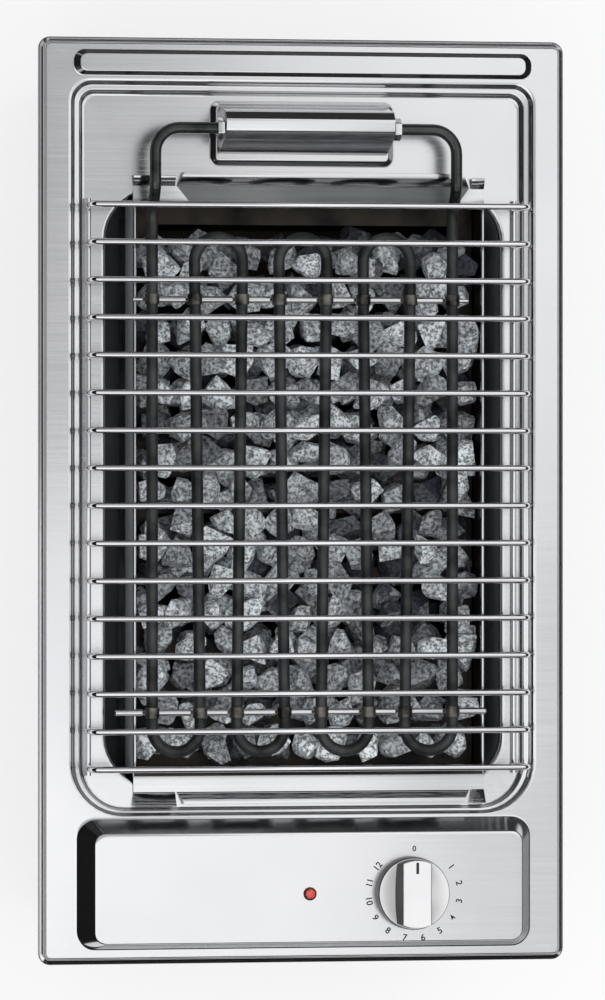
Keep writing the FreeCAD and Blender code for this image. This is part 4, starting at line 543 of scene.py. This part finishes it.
def section_sheet(points, x0, x1):
    """An open section in the YZ plane, pushed along X."""
    bm = bmesh.new()
    spots = [bm.verts.new((x0, y, z)) for y, z in points]
    line = [bm.edges.new(pair) for pair in zip(spots, spots[1:])]
    moved_out(bm, bmesh.ops.extrude_edge_only(bm, edges=line), (x1 - x0, 0, 0))
    return bm


def round_folds(bm, radius):
    bevelled(bm, [edge for edge in bm.edges if len(edge.link_faces) == 2], radius, 3)


HOOD = [(190.9, 0.0), (190.9, 1.0), (198.0, 21.6), (203.0, 26.5), (209.2, 27.5), (213.9, 23.4), (217.7, 1.0),
        (217.7, 0.0)]
HOOD_HALF = 47.0
hood_points = [(y, SEAT_TOP + z) for y, z in HOOD]
bm = section_sheet(hood_points, -HOOD_HALF, HOOD_HALF)
round_folds(bm, 0.9)
terminal_hood = finish_piece("terminal_hood", bm, "body", "brushed_stainless", "fold_steel", sheet=1.0, upward=True)
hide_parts("terminal_cover")

bm = bmesh.new()
for x0, x1 in ((-45.8, -44.0), (44.0, 45.8)):
    spots = [bm.verts.new((x0, PIVOT.y + (y - PIVOT.y) * 0.9, SEAT_TOP + (z - SEAT_TOP) * 0.95 + 0.1))
             for y, z in hood_points]
    moved_out(bm, bmesh.ops.extrude_face_region(bm, geom=[bm.faces.new(spots)]), (x1 - x0, 0, 0))
hood_ends = finish_piece("hood_ends", bm, "body", "brushed_stainless", "bright_steel", crease=25)
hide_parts("housing_end_plates")

# %% [markdown]
# Everything round with a straight axis is turned from a profile: a few points in a plane, spun a
# full circle about the axis. That gives the bushes, pins, spacers and clips their true edges. The
# two nuts are six-sided bars with their edges broken.

# %% Turned parts
AXES = {"X": Vector((1, 0, 0)), "Y": Vector((0, 1, 0)), "Z": Vector((0, 0, 1))}


def turned(bm, profile, centre, axis="X", steps=28):
    """Spin a closed profile of (along, radius) points about an axis through the centre."""
    along, out = AXES[axis], AXES["X" if axis == "Z" else "Z"]
    spots = [bm.verts.new(centre + along * a + out * r) for a, r in profile]
    edges = [bm.edges.new((spots[k], spots[(k + 1) % len(spots)])) for k in range(len(spots))]
    bmesh.ops.spin(bm, geom=spots + edges, cent=centre, axis=along, angle=math.tau, steps=steps, use_merge=True)


def barrel(x0, x1, radius, bore, edge=0.3):
    """Profile of a tube or, with a very small bore, of a bar."""
    return [(x0, bore), (x0, radius - edge), (x0 + edge, radius), (x1 - edge, radius), (x1, radius - edge),
            (x1, bore)]


bm = bmesh.new()
for low, high in ((-46.6, -43.0), (43.0, 46.6)):
    turned(bm, barrel(low, high, 5.1, 3.6), PIVOT)
bushes = finish_piece("bush_rings", bm, "body", "bright_steel")
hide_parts("pivot_bushes")

NUT = 4.0
bm = bmesh.new()
for low in (-51.4, 47.4):
    place = Matrix.Translation((low + NUT / 2, PIVOT.y, PIVOT.z)) @ Matrix.Rotation(math.pi / 2, 4, "Y")
    bmesh.ops.create_cone(bm, cap_ends=True, segments=6, radius1=6.3, radius2=6.3, depth=NUT, matrix=place)
bevelled(bm, list(bm.edges), 0.5, 2)
end_nuts = finish_piece("end_nuts", bm, "element", "bright_steel", weighted=True)
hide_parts("element_nuts")

# %% [markdown]
# The heating tube is one long tube bent eight times. Its path is worked out as the real one is
# bent: two rows of hairpin circles, and straight legs that touch a front circle and a rear circle,
# which is why they lean a little. A curve with a round bevel follows that path and is made a mesh.

# %% Path of the heating tube
CENTRE_X = -1.2
PITCH = 23.6
HAIRPIN = 13.4
REAR_ROW = 131.6
FRONT_ROW = -124.7


def bend_points(centre, start, axis, angle, steps):
    """Points round a bend, both ends included."""
    return [centre + Matrix.Rotation(angle * k / steps, 3, axis) @ (start - centre) for k in range(steps + 1)]


def rounded(points, radii, steps=9):
    """A route of corners, each inner corner turned to its radius."""
    route = [points[0]]
    for before, corner, after, radius in zip(points, points[1:], points[2:], radii):
        back, ahead = (before - corner).normalized(), (after - corner).normalized()
        half = back.angle(ahead) / 2
        first = corner + back * (radius / math.tan(half))
        centre = corner + (back + ahead).normalized() * (radius / math.sin(half))
        route += bend_points(centre, first, ahead.cross(back), math.pi - 2 * half, steps)
    return route + [points[-1]]


def hairpin_x(front_row, k):
    return CENTRE_X + ((-3 if front_row else -2) + 2 * k) * PITCH


def leg_ends(leg):
    if leg in (1, 8):
        side = -1 if leg == 1 else 1
        x = hairpin_x(True, (leg - 1) // 2) + side * HAIRPIN
        return Vector((x, FRONT_ROW, RUN_Z)), Vector((x, PIVOT.y - 46.5, RUN_Z))
    along = REAR_ROW - FRONT_ROW
    lean = math.acos(2 * HAIRPIN / math.hypot(PITCH, along)) - math.atan2(along, PITCH)
    front_x, rear_x = hairpin_x(True, (leg - 1) // 2), hairpin_x(False, (leg - 2) // 2)
    side = 1 if rear_x > front_x else -1
    shift = Vector((side * HAIRPIN * math.cos(lean), HAIRPIN * math.sin(lean), 0))
    front = Vector((front_x + shift.x, FRONT_ROW - shift.y, RUN_Z))
    return front, Vector((rear_x - shift.x, REAR_ROW + shift.y, RUN_Z))


def arm(side):
    """From the end of an outer leg up the slope and round into the hood."""
    start, foot = leg_ends(1 if side < 0 else 8)
    rise_end = foot.y + (PIVOT.z - RUN_Z) / math.tan(math.radians(40))
    corners = [start, foot, Vector((foot.x, rise_end, PIVOT.z)), Vector((foot.x, PIVOT.y, PIVOT.z)),
               Vector((side * 36.0, PIVOT.y, PIVOT.z))]
    return rounded(corners, [12.0, 12.0, 13.4])


def tube_route():
    route = arm(-1)[:0:-1]
    for leg in range(1, 8):
        front_turn = leg % 2 == 1
        near = 0 if front_turn else 1
        start, finish = leg_ends(leg)[near], leg_ends(leg + 1)[near]
        row = FRONT_ROW if front_turn else REAR_ROW
        centre = Vector((hairpin_x(front_turn, (leg - 1) // 2), row, RUN_Z))
        first, last = start - centre, finish - centre
        sweep = (math.atan2(last.y, last.x) - math.atan2(first.y, first.x)) % math.tau
        sweep -= 0 if front_turn else math.tau
        route += bend_points(centre, start, AXES["Z"], sweep, 18)
    return route + arm(1)[1:]


def round_wires(routes, radius, around):
    """Round wires along routes in millimetres, as one mesh in metres."""
    curve = bpy.data.curves.new("route", "CURVE")
    curve.dimensions = "3D"
    curve.bevel_depth = radius * MM
    curve.bevel_resolution = around
    curve.use_fill_caps = True
    for route in routes:
        spline = curve.splines.new("POLY")
        spline.points.add(len(route) - 1)
        for spot, place in zip(spline.points, route):
            spot.co = (*(place * MM), 1.0)
    holder = bpy.data.objects.new("route", curve)
    mesh = bpy.data.meshes.new_from_object(holder)
    bpy.data.objects.remove(holder)
    bpy.data.curves.remove(curve)
    return mesh


heater = dress("heating_tube", round_wires([tube_route()], TUBE / 2, 5), "element", "element_sheath", crease=60)
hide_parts("heating_element")

# %% [markdown]
# Two rods lie across under the tube and keep its legs apart: a thin rod, bright spacer sleeves
# between the legs, and a folded clip over each leg. The front rod ends in thicker pins that rest
# on the side walls of the tray when the element is down.

# %% Rods, pins, spacers and clips
REAR_ROD = 110.8
FRONT_ROD = -116.6


def leg_x(leg, y):
    front, rear = leg_ends(leg)
    return front.x + (rear.x - front.x) * (y - front.y) / (rear.y - front.y)


GAP = TUBE / 2 + FIT + CLIP + 0.1
SOLID = 0.02
ends = {REAR_ROD: (leg_x(1, REAR_ROD) - 10.0, leg_x(8, REAR_ROD) + 10.0),
        FRONT_ROD: (leg_x(1, FRONT_ROD) - GAP, leg_x(8, FRONT_ROD) + GAP)}
for name, y, node in (("rear_rod", REAR_ROD, "rear_support_rod"), ("front_rod", FRONT_ROD, "front_support_rod")):
    bm = bmesh.new()
    turned(bm, barrel(*ends[y], ROD / 2, SOLID, 0.2), Vector((0, y, ROD_LEVEL)), steps=16)
    piece = finish_piece(name, bm, "element", "wire_steel")
    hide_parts(node)

bm = bmesh.new()
PIN_LENGTH = 15.9
left, right = ends[FRONT_ROD]
for low, high in ((left - PIN_LENGTH, left), (right, right + PIN_LENGTH)):
    turned(bm, barrel(low, high, SLEEVE / 2, SOLID, 0.6), Vector((0, FRONT_ROD, ROD_LEVEL)), steps=24)
rest_pins = finish_piece("rest_pins_turned", bm, "element", "wire_steel")
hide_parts("rest_pins")

bm = bmesh.new()
for y in (REAR_ROD, FRONT_ROD):
    for leg in range(1, 8):
        low, high = leg_x(leg, y) + GAP, leg_x(leg + 1, y) - GAP
        turned(bm, barrel(low, high, SLEEVE / 2, ROD / 2 + FIT, 0.25), Vector((0, y, ROD_LEVEL)), steps=18)
spacers = finish_piece("spacer_sleeves", bm, "element", "plain_steel", "bright_steel")
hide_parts("spacer_tubes")

bm = bmesh.new()
for y in (REAR_ROD, FRONT_ROD):
    for leg in range(1, 9):
        turned(bm, barrel(-3.0, 3.0, 4.1, TUBE / 2 + FIT, 0.2), Vector((leg_x(leg, y), y, RUN_Z)), axis="Y", steps=20)
clips = finish_piece("tube_clips", bm, "element", "plain_steel", "clip_steel")
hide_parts("element_clips")

# %% [markdown]
# The wire grid: sixteen straight bars with both ends bent down, welded on two long rails that stand
# on the sunken field. Each bar is a route with two rounded corners, so the bends catch the light.

# %% Wire grid
BAR_Z = BORDER + 24.8
BAR_PITCH = 20.6
LAST_BAR = 162.1
RAIL = 1.6
RAIL_X = 119.6
RAIL_Z = LEDGE + 0.3 + RAIL
routes = []
for k in range(16):
    y = LAST_BAR - k * BAR_PITCH
    half = [Vector((RAIL_X, y, RAIL_Z + 1.2)), Vector((122.0, y, BAR_Z))]
    corners = half + [Vector((-spot.x, spot.y, spot.z)) for spot in reversed(half)]
    routes.append(rounded(corners, [4.2, 4.2], 6))
bars = dress("grid_bars_bent", round_wires(routes, 1.75, 3), "grid", "wire_steel", crease=60)
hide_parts("grid_bars")
rails = [[Vector((x, -151.1, RAIL_Z)), Vector((x, 166.3, RAIL_Z))] for x in (-RAIL_X, RAIL_X)]
rail_piece = dress("grid_rails_round", round_wires(rails, RAIL, 3), "grid", "wire_steel", crease=60)
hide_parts("grid_rails")

# %% [markdown]
# The lava tray hangs in the opening by a flange at each end. Its two long walls end in a folded
# hem, which shows as a bright line. The flanges turn up into a sloping lip whose ends are cut at a
# mitre, with a lower tab beside it. The front rim is painted nearly black as shadow, and the flat
# apron behind the tray is painted dark grey as a dark reflection, so these two are pieces of their
# own with their own finish.

# %% Lava tray
LEFT, RIGHT = -94.4, 102.7
TRAY = Plan(LEFT, RIGHT, -148.4, 164.6, 2.5)
FLANGE = LEDGE + 0.8
bm = bmesh.new()
deep = TRAY.grown(-6.0)
levels = [(TRAY, FLANGE), (TRAY, 123.0), (deep, 117.0), (deep, 63.5), (deep.grown(-1.8), 59.3),
          (deep.grown(-6.0), 57.6)]
flat_between(bm, wall(bm, levels, 5)[1])
tray_pan = finish_piece("tray_pan", bm, "body", "plain_steel", sheet=0.8)
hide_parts("lava_tray")


def add_block(bm, size, middle):
    spots = bmesh.ops.create_cube(bm, size=1.0)["verts"]
    bmesh.ops.scale(bm, vec=size, verts=spots)
    bmesh.ops.translate(bm, vec=middle, verts=spots)


HEM_FOOT = 148.3
bm = bmesh.new()
for x in (-93.6, 101.9):
    add_block(bm, (1.6, 311.0, TRAY_TOP - HEM_FOOT), (x, 8.1, (TRAY_TOP + HEM_FOOT) / 2))
bevelled(bm, [edge for edge in bm.edges if abs(edge.verts[0].co.y - edge.verts[1].co.y) > 100], 0.7, 4)
finish_piece("tray_hems", bm, "body", "plain_steel", "wire_steel")


def join_in(bm, other):
    """Add another sketch to this one."""
    held = mesh_of("held", other)
    bm.from_mesh(held)
    bpy.data.meshes.remove(held)


def add_strips(name, strips, finish):
    """Folded strips as one piece. Each point of a section is (y, z, left end, right end)."""
    joined = bmesh.new()
    for points in strips:
        part = section_sheet([point[:2] for point in points], -1.0, 1.0)
        for spot in part.verts:
            left, right = min(points, key=lambda point: abs(point[0] - spot.co.y) + abs(point[1] - spot.co.z))[2:]
            spot.co.x = left if spot.co.x < 0 else right
        round_folds(part, 0.6)
        join_in(joined, part)
    finish_piece(name, joined, "body", "plain_steel", finish, sheet=0.8, crease=20, upward=True)


# Painted shadow: the front rim takes the nearly black tray finish.
add_strips("tray_front_rim", [[(-147.8, LEDGE, LEFT, RIGHT), (-151.7, FLANGE, LEFT, RIGHT)]], "tray_steel")
# Painted reflection: the apron behind the tray is dark grey.
add_strips("tray_rear_apron", [[(164.2, FLANGE + 0.02, -62.5, 88.0), (173.4, FLANGE + 0.02, -70.0, 94.5)]],
           "apron_painted_reflection")
strips = [[(-151.7, FLANGE, LEFT, RIGHT), (-160.4, FLANGE, LEFT, RIGHT)],
          [(164.2, FLANGE, LEFT, -62.5), (173.4, FLANGE, LEFT, -70.0)],
          [(164.2, FLANGE, 88.0, RIGHT), (173.4, FLANGE, 94.5, RIGHT)]]
LIP = [(0.01, -70.0, 94.5), (4.3, -67.5, 91.5), (4.7, -66.5, 90.5)]
for depths in ((173.4, 178.6, 181.0), (-160.4, -164.6, -167.0)):
    strips.append([(y, FLANGE + rise, left, right) for y, (rise, left, right) in zip(depths, LIP)])
for left, right in ((LEFT, -71.0), (95.5, RIGHT)):
    strips.append([(173.4, FLANGE + 0.01, left, right), (178.8, FLANGE + 3.3, left, right)])
    strips.append([(-160.4, FLANGE + 0.01, left, right), (-167.8, FLANGE + 5.6, left, right)])
add_strips("tray_lips", strips, "fold_steel")

# %% [markdown]
# Lava stones: a cube is cut by a dozen tilted planes, and each cut is closed, which leaves an
# angular lump with a couple of dozen faces. Fourteen such lumps are turned, scaled and laid in
# three loose layers, so that dark gaps stay between them. All stones are one mesh, and each face
# stores the tone of its stone, with painted shade that darkens the lower layers.

# %% Stone shapes
chance = random.Random(7)


def cut_off(bm, spot, facing):
    """Cut away what lies beyond a plane, and close the cut."""
    everything = list(bm.verts) + list(bm.edges) + list(bm.faces)
    cut = bmesh.ops.bisect_plane(bm, geom=everything, plane_co=spot, plane_no=facing, clear_outer=True)
    rim = [item for item in cut["geom_cut"] if isinstance(item, bmesh.types.BMEdge)]
    if rim:
        bmesh.ops.holes_fill(bm, edges=rim, sides=0)


def stone_shape():
    """One angular lump about one unit wide."""
    bm = bmesh.new()
    bmesh.ops.create_cube(bm, size=1.15)
    for _ in range(13):
        heading = Vector([chance.gauss(0, 1) for _ in range(3)]).normalized()
        cut_off(bm, heading * chance.uniform(0.36, 0.50), heading)
    bmesh.ops.remove_doubles(bm, verts=bm.verts, dist=0.03)
    bmesh.ops.recalc_face_normals(bm, faces=bm.faces)
    return mesh_of("stone", bm)


shapes = [stone_shape() for _ in range(14)]
print("stone faces:", [len(shape.polygons) for shape in shapes])

# %% [markdown]
# Each layer is a loose grid of stones, with every other row shifted. The table gives a layer's top,
# its spacing, its rear end, the share of places left empty, and the tone of its stones, which is
# lower for deeper layers as painted shade.

# %% Lay the stones
LAYERS = ((131.0, 21.0, 150.0, 0.0, 0.05), (140.5, 18.5, 146.0, 0.0, 0.32), (149.6, 17.0, 139.0, 0.20, 0.74))
WIDTH = 188
FRONT = -143.0


def within(value, low, high):
    return min(max(value, low), high)


bm = bmesh.new()
shade = bm.faces.layers.float.new("tone_and_depth_shade")
count = 0
for top, step, rear, empty, tone in LAYERS:
    rows = int((rear - FRONT) / step)
    columns = int(WIDTH / step)
    for row in range(rows):
        for column in range(columns):
            if empty and chance.random() < empty:
                continue
            size = chance.uniform(0.80, 1.10) * step
            shift = 0.3 if row % 2 else 0.0
            x = -91.5 + (column + 0.5 + shift) * WIDTH / columns + chance.uniform(-2.4, 2.4)
            y = FRONT + (row + 0.5) * (rear - FRONT) / rows + chance.uniform(-2.4, 2.4)
            before, old = len(bm.verts), len(bm.faces)
            bm.from_mesh(shapes[chance.randrange(len(shapes))])
            bm.verts.ensure_lookup_table()
            bm.faces.ensure_lookup_table()
            fresh = bm.verts[before:]
            swing, lean = chance.uniform(0, math.tau), chance.uniform(-0.5, 0.5)
            turn = Matrix.Rotation(swing, 4, "Z") @ Matrix.Rotation(lean, 4, "X")
            stretch = Matrix.Diagonal((size, size * chance.uniform(0.75, 1.0), size * chance.uniform(0.7, 0.9), 1))
            bmesh.ops.transform(bm, matrix=turn @ stretch, verts=fresh)
            reach = max(spot.co.z for spot in fresh)
            bmesh.ops.translate(bm, vec=(x, y, top - reach - chance.uniform(0, 4.5)), verts=fresh)
            for spot in fresh:
                spot.co.x = within(spot.co.x, -92.6, 100.9)
                spot.co.y = within(spot.co.y, -146.6, 162.8)
            # Painted shade: the layer's tone darkens the lower stones; the spread round it is each stone's own tone.
            tone_and_depth_shade = within(chance.gauss(tone, 0.24), 0.0, 1.0)
            for face in bm.faces[old:]:
                face[shade] = within(tone_and_depth_shade + chance.gauss(0, 0.10), 0.0, 1.0)
            count += 1
bmesh.ops.scale(bm, vec=(MM, MM, MM), verts=bm.verts)
stones = dress("lava_stones", mesh_of("lava_stones", bm), "body", "lava_stone", crease=20)
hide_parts("lava_rocks")
print(count, "stones")

# %% [markdown]
# The knob is a low round skirt with a hollow on each side of a broad grip bar. The skirt is spun
# from its profile. The bar starts as a disc that is drawn up to a drum, and leaning planes cut its
# flanks away. A small dark mark on the bar points to the printed scale.

# %% Control knob
KNOB = Vector((58.5, -216.5, PANEL + 1.0))
GRIP_FOOT = 0.8
GRIP_TOP = 17.8
bm = bmesh.new()
dish = [(0.0, 2.4), (0.0, 19.5), (0.4, 20.15), (8.0, 19.95), (8.8, 19.5), (8.7, 18.6), (7.7, 15.8), (6.8, 12.8),
        (6.3, 10.0), (6.2, 2.4)]
turned(bm, dish, KNOB, axis="Z", steps=72)
drum = bmesh.new()
bmesh.ops.create_circle(drum, cap_ends=True, segments=96, radius=19.3)
bmesh.ops.translate(drum, vec=KNOB + Vector((0, 0, GRIP_FOOT)), verts=drum.verts)
crown = moved_out(drum, bmesh.ops.extrude_face_region(drum, geom=list(drum.faces)), (0, 0, GRIP_TOP - GRIP_FOOT))
bmesh.ops.scale(drum, vec=(0.965, 0.965, 1), space=Matrix.Translation(-KNOB), verts=crown)
for side in (-1, 1):
    cut_off(drum, KNOB + Vector((side * 8.9, 0, 13.0)), Vector((side, 0, 0.21)))
bmesh.ops.recalc_face_normals(drum, faces=drum.faces)
bevelled(drum, [edge for edge in drum.edges if min(v.co.z for v in edge.verts) > KNOB.z + GRIP_TOP - 0.1], 0.6, 3)
join_in(bm, drum)
# Painted shade: faces on the grip's flanks and on the skirt's outer wall get a value that makes them nearly black.
painted_shade = bm.faces.layers.float.new("painted_shade")
bm.normal_update()
for face in bm.faces:
    off = face.calc_center_median() - KNOB
    on_grip = abs(off.x) < 11.0 and off.z > 3.0 and (face.normal.x < -0.9 or face.normal.x > 0.3)
    on_edge = off.xy.length > 18.5 and abs(face.normal.z) < 0.85
    if on_grip or on_edge:
        face[painted_shade] = 1.0
knob = finish_piece("scale_knob", bm, "knob", "knob_plastic", crease=30, weighted=True)
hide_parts("control_knob")

bm = bmesh.new()
add_block(bm, (1.5, 6.2, 0.24), (KNOB.x, KNOB.y + 14.4, KNOB.z + GRIP_TOP + 0.06))
bevelled(bm, list(bm.edges), 0.08, 2)
finish_piece("pointer_mark", bm, "knob", "lamp_black", "dial_ink")

# %% [markdown]
# The scale is printed on the panel: plain numbers from 0 to 12, evenly spaced from 1 to 12 and with
# a wider step from 0 to 1. Figures in the lower half stand with their heads to the knob, so that
# they can be read from the front. Text is made a mesh at once, then turned and moved, so that the
# object itself stays at the origin.

# %% Printed numbers
FIRST_STEP = 53.6
NEXT_STEP = 23.09
SCALE_WIDE, SCALE_DEEP = 25.8, 24.8
joined = bmesh.new()
for number in range(13):
    angle = 0.0 if number == 0 else math.radians(FIRST_STEP + (number - 1) * NEXT_STEP)
    words = bpy.data.curves.new("number", "FONT")
    words.body = str(number)
    words.size = 4.2 if number == 0 else 5.0
    words.align_x = words.align_y = "CENTER"
    words.extrude = 0.03
    words.offset = 0.03 if number == 4 else 0.10
    holder = bpy.data.objects.new("number", words)
    mesh = bpy.data.meshes.new_from_object(holder)
    x, y = KNOB.x + 1.9 + SCALE_WIDE * math.sin(angle), KNOB.y - 0.5 + SCALE_DEEP * math.cos(angle)
    heads_in = math.pi if math.cos(angle) < 0 else 0.0
    mesh.transform(Matrix.Translation((x, y, PANEL + 0.035)) @ Matrix.Rotation(heads_in - angle, 4, "Z"))
    joined.from_mesh(mesh)
    bpy.data.objects.remove(holder)
    bpy.data.curves.remove(words)
    bpy.data.meshes.remove(mesh)
finish_piece("scale_numbers", joined, "body", "lamp_black", "dial_ink", crease=60)

# %% [markdown]
# The pilot lamp is a small red dome in a thin dark ring. Both are spun from short profiles.

# %% Pilot lamp
LAMP = Vector((1.8, -216.5, PANEL))
bm = bmesh.new()
ring = [(0.0, 2.82), (0.0, 3.7), (0.5, 3.68), (0.95, 3.45), (1.15, 3.15), (1.0, 2.82)]
turned(bm, ring, LAMP, axis="Z", steps=40)
lamp_ring = finish_piece("lamp_ring", bm, "body", "lamp_black")
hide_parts("lamp_bezel")
bm = bmesh.new()
quarter = [math.pi / 2 * k / 6 for k in range(7)]
dome = [(0.02, 0.001), (0.02, 2.75)] + [(1.3 + 0.9 * math.sin(t), 2.75 * math.cos(t) + 0.001) for t in quarter]
turned(bm, dome, LAMP, axis="Z", steps=32)
lens = finish_piece("lamp_dome", bm, "body", "lamp_red")
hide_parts("lamp_lens")

# %% [markdown]
# The CAD nodes that stay visible keep their meshes and only get their finishes, each by its slot in
# the record. The well is sheet of its own kind.

# %% Finishes for the CAD nodes
for part in frame["record"]["subparts"]:
    node = frame["nodes"][part["node"]]
    finish = FINISHES["well_steel"] if part["node"] == "grill_well" else slot_finish(part["material_slot"])
    for place in node.material_slots:
        place.material = finish

# %% [markdown]
# The studio. Polished steel shows what stands round it, so the surroundings are built for it: four
# soft lamps overhead, brightest over the front left, a dark ceiling above them, and a low dark wall
# all round. Flats then mirror the lamps and every bend gets a dark line, as in the photograph. The
# walls only count for reflections, so the stones are still lit from all sides.

# %% Floor and cards


def plain(name, colour):
    material = bpy.data.materials.new(name)
    material.use_nodes = True
    tree = material.node_tree
    feed(tree, tree.nodes["Principled BSDF"],
         {"Base Color": (*colour, 1.0), "Roughness": 0.9, "Specular IOR Level": 0.0})
    return material


def seen_directly(tree):
    """One for camera, glossy and transmission rays, nought for the rest."""
    path = add_node(tree, "LightPath", {}).outputs
    value = path["Is Camera Ray"]
    for name in ("Is Glossy Ray", "Is Transmission Ray"):
        value = maths(tree, "MAXIMUM", value, path[name])
    return value


def board(name, size, place, turn, material):
    bm = bmesh.new()
    bmesh.ops.create_grid(bm, x_segments=1, y_segments=1, size=0.5)
    bmesh.ops.scale(bm, vec=(*size, 1), verts=bm.verts)
    bmesh.ops.rotate(bm, matrix=Matrix.Rotation(turn[0], 3, turn[1]), verts=bm.verts)
    bmesh.ops.translate(bm, vec=place, verts=bm.verts)
    mesh = mesh_of(name, bm)
    mesh.materials.append(material)
    made = bpy.data.objects.new(name, mesh)
    scene.collection.objects.link(made)
    return made


floor_paint = plain("studio_floor", (0.93, 0.93, 0.93))
tree = floor_paint.node_tree
share = maths(tree, "MULTIPLY", seen_directly(tree), 0.72)
paint = tree.nodes["Principled BSDF"].outputs["BSDF"]
glow = add_node(tree, "Emission", {}).outputs["Emission"]
mix = add_node(tree, "MixShader", {"Fac": share, 1: paint, 2: glow})
feed(tree, tree.nodes["Material Output"], {"Surface": mix.outputs["Shader"]})
board("studio_floor", (16.0, 16.0), (0, 0, -0.0005), (0.0, "X"), floor_paint)

black = plain("card_black", (0.015, 0.015, 0.015))
grey = plain("card_grey", (0.05, 0.05, 0.05))
cards = [
    ("card_left", (1.05, 3.4), (-1.2, 0, 0.525), (math.pi / 2, "Y"), black),
    ("card_right", (0.80, 3.4), (1.3, 0, 0.40), (math.pi / 2, "Y"), black),
    ("card_front", (3.0, 1.00), (0, -1.3, 0.50), (math.pi / 2, "X"), black),
    ("card_rear", (3.0, 1.00), (0, 1.4, 0.50), (math.pi / 2, "X"), grey),
    ("card_ceiling", (3.2, 3.2), (0.1, 0, 1.25), (0.0, "X"), black),
]
for name, size, place, turn, material in cards:
    card = board(name, size, place, turn, material)
    card.visible_camera = False
    card.visible_diffuse = False
print(len(cards), "cards")

# %% Lamps and world


def softbox(name, place, size, radiance):
    lamp = bpy.data.lights.new(name, "AREA")
    lamp.shape = "RECTANGLE"
    lamp.size, lamp.size_y = size
    lamp.energy = radiance * math.pi * size[0] * size[1]
    made = bpy.data.objects.new(name, lamp)
    made.location = place
    made.visible_camera = False
    scene.collection.objects.link(made)


softbox("lamp_rear_left", (-0.45, 0.58, 1.15), (1.2, 1.16), 0.62)
softbox("lamp_rear_right", (0.73, 0.58, 1.15), (1.16, 1.16), 1.30)
softbox("lamp_front_left", (-0.40, -0.58, 1.15), (1.3, 1.16), 1.42)
softbox("lamp_front_right", (0.78, -0.58, 1.15), (1.06, 1.16), 0.92)

world = bpy.data.worlds.new("studio")
scene.world = world
world.use_nodes = True
world.cycles.sampling_method = "NONE"
tree = world.node_tree
strength = ranged(tree, seen_directly(tree), 0.0, 1.0, 0.45, 1.0)
feed(tree, tree.nodes["Background"], {"Strength": strength, "Color": (1.0, 1.0, 1.0, 1.0)})
scene.view_settings.view_transform = "Standard"

# %% [markdown]
# The camera looks almost straight down from far away with a long lens, and leans a little to the
# left. The lens follows from how many rows of the picture a metre of the plate takes.

# %% Camera
TILT = math.radians(10.6)
DISTANCE = 4.0
SENSOR = 36.0
ROWS = 1000
ROWS_PER_METRE = 1812.0
aim = Vector((-0.73 * MM, 0.39 * MM, BORDER * MM))
back = Vector((-math.sin(TILT), 0.0, math.cos(TILT)))
right = Vector((0, 1, 0)).cross(back).normalized()
camera_data = bpy.data.cameras.new("camera")
camera_data.sensor_width = SENSOR
camera_data.lens = SENSOR * DISTANCE / (ROWS / ROWS_PER_METRE)
camera_data.clip_end = 50.0
camera = bpy.data.objects.new("camera", camera_data)
turn = Matrix((right, back.cross(right), back)).transposed().to_4x4()
camera.matrix_world = Matrix.Translation(aim + back * DISTANCE) @ turn
scene.collection.objects.link(camera)
scene.camera = camera
print("lens", round(camera_data.lens, 1))
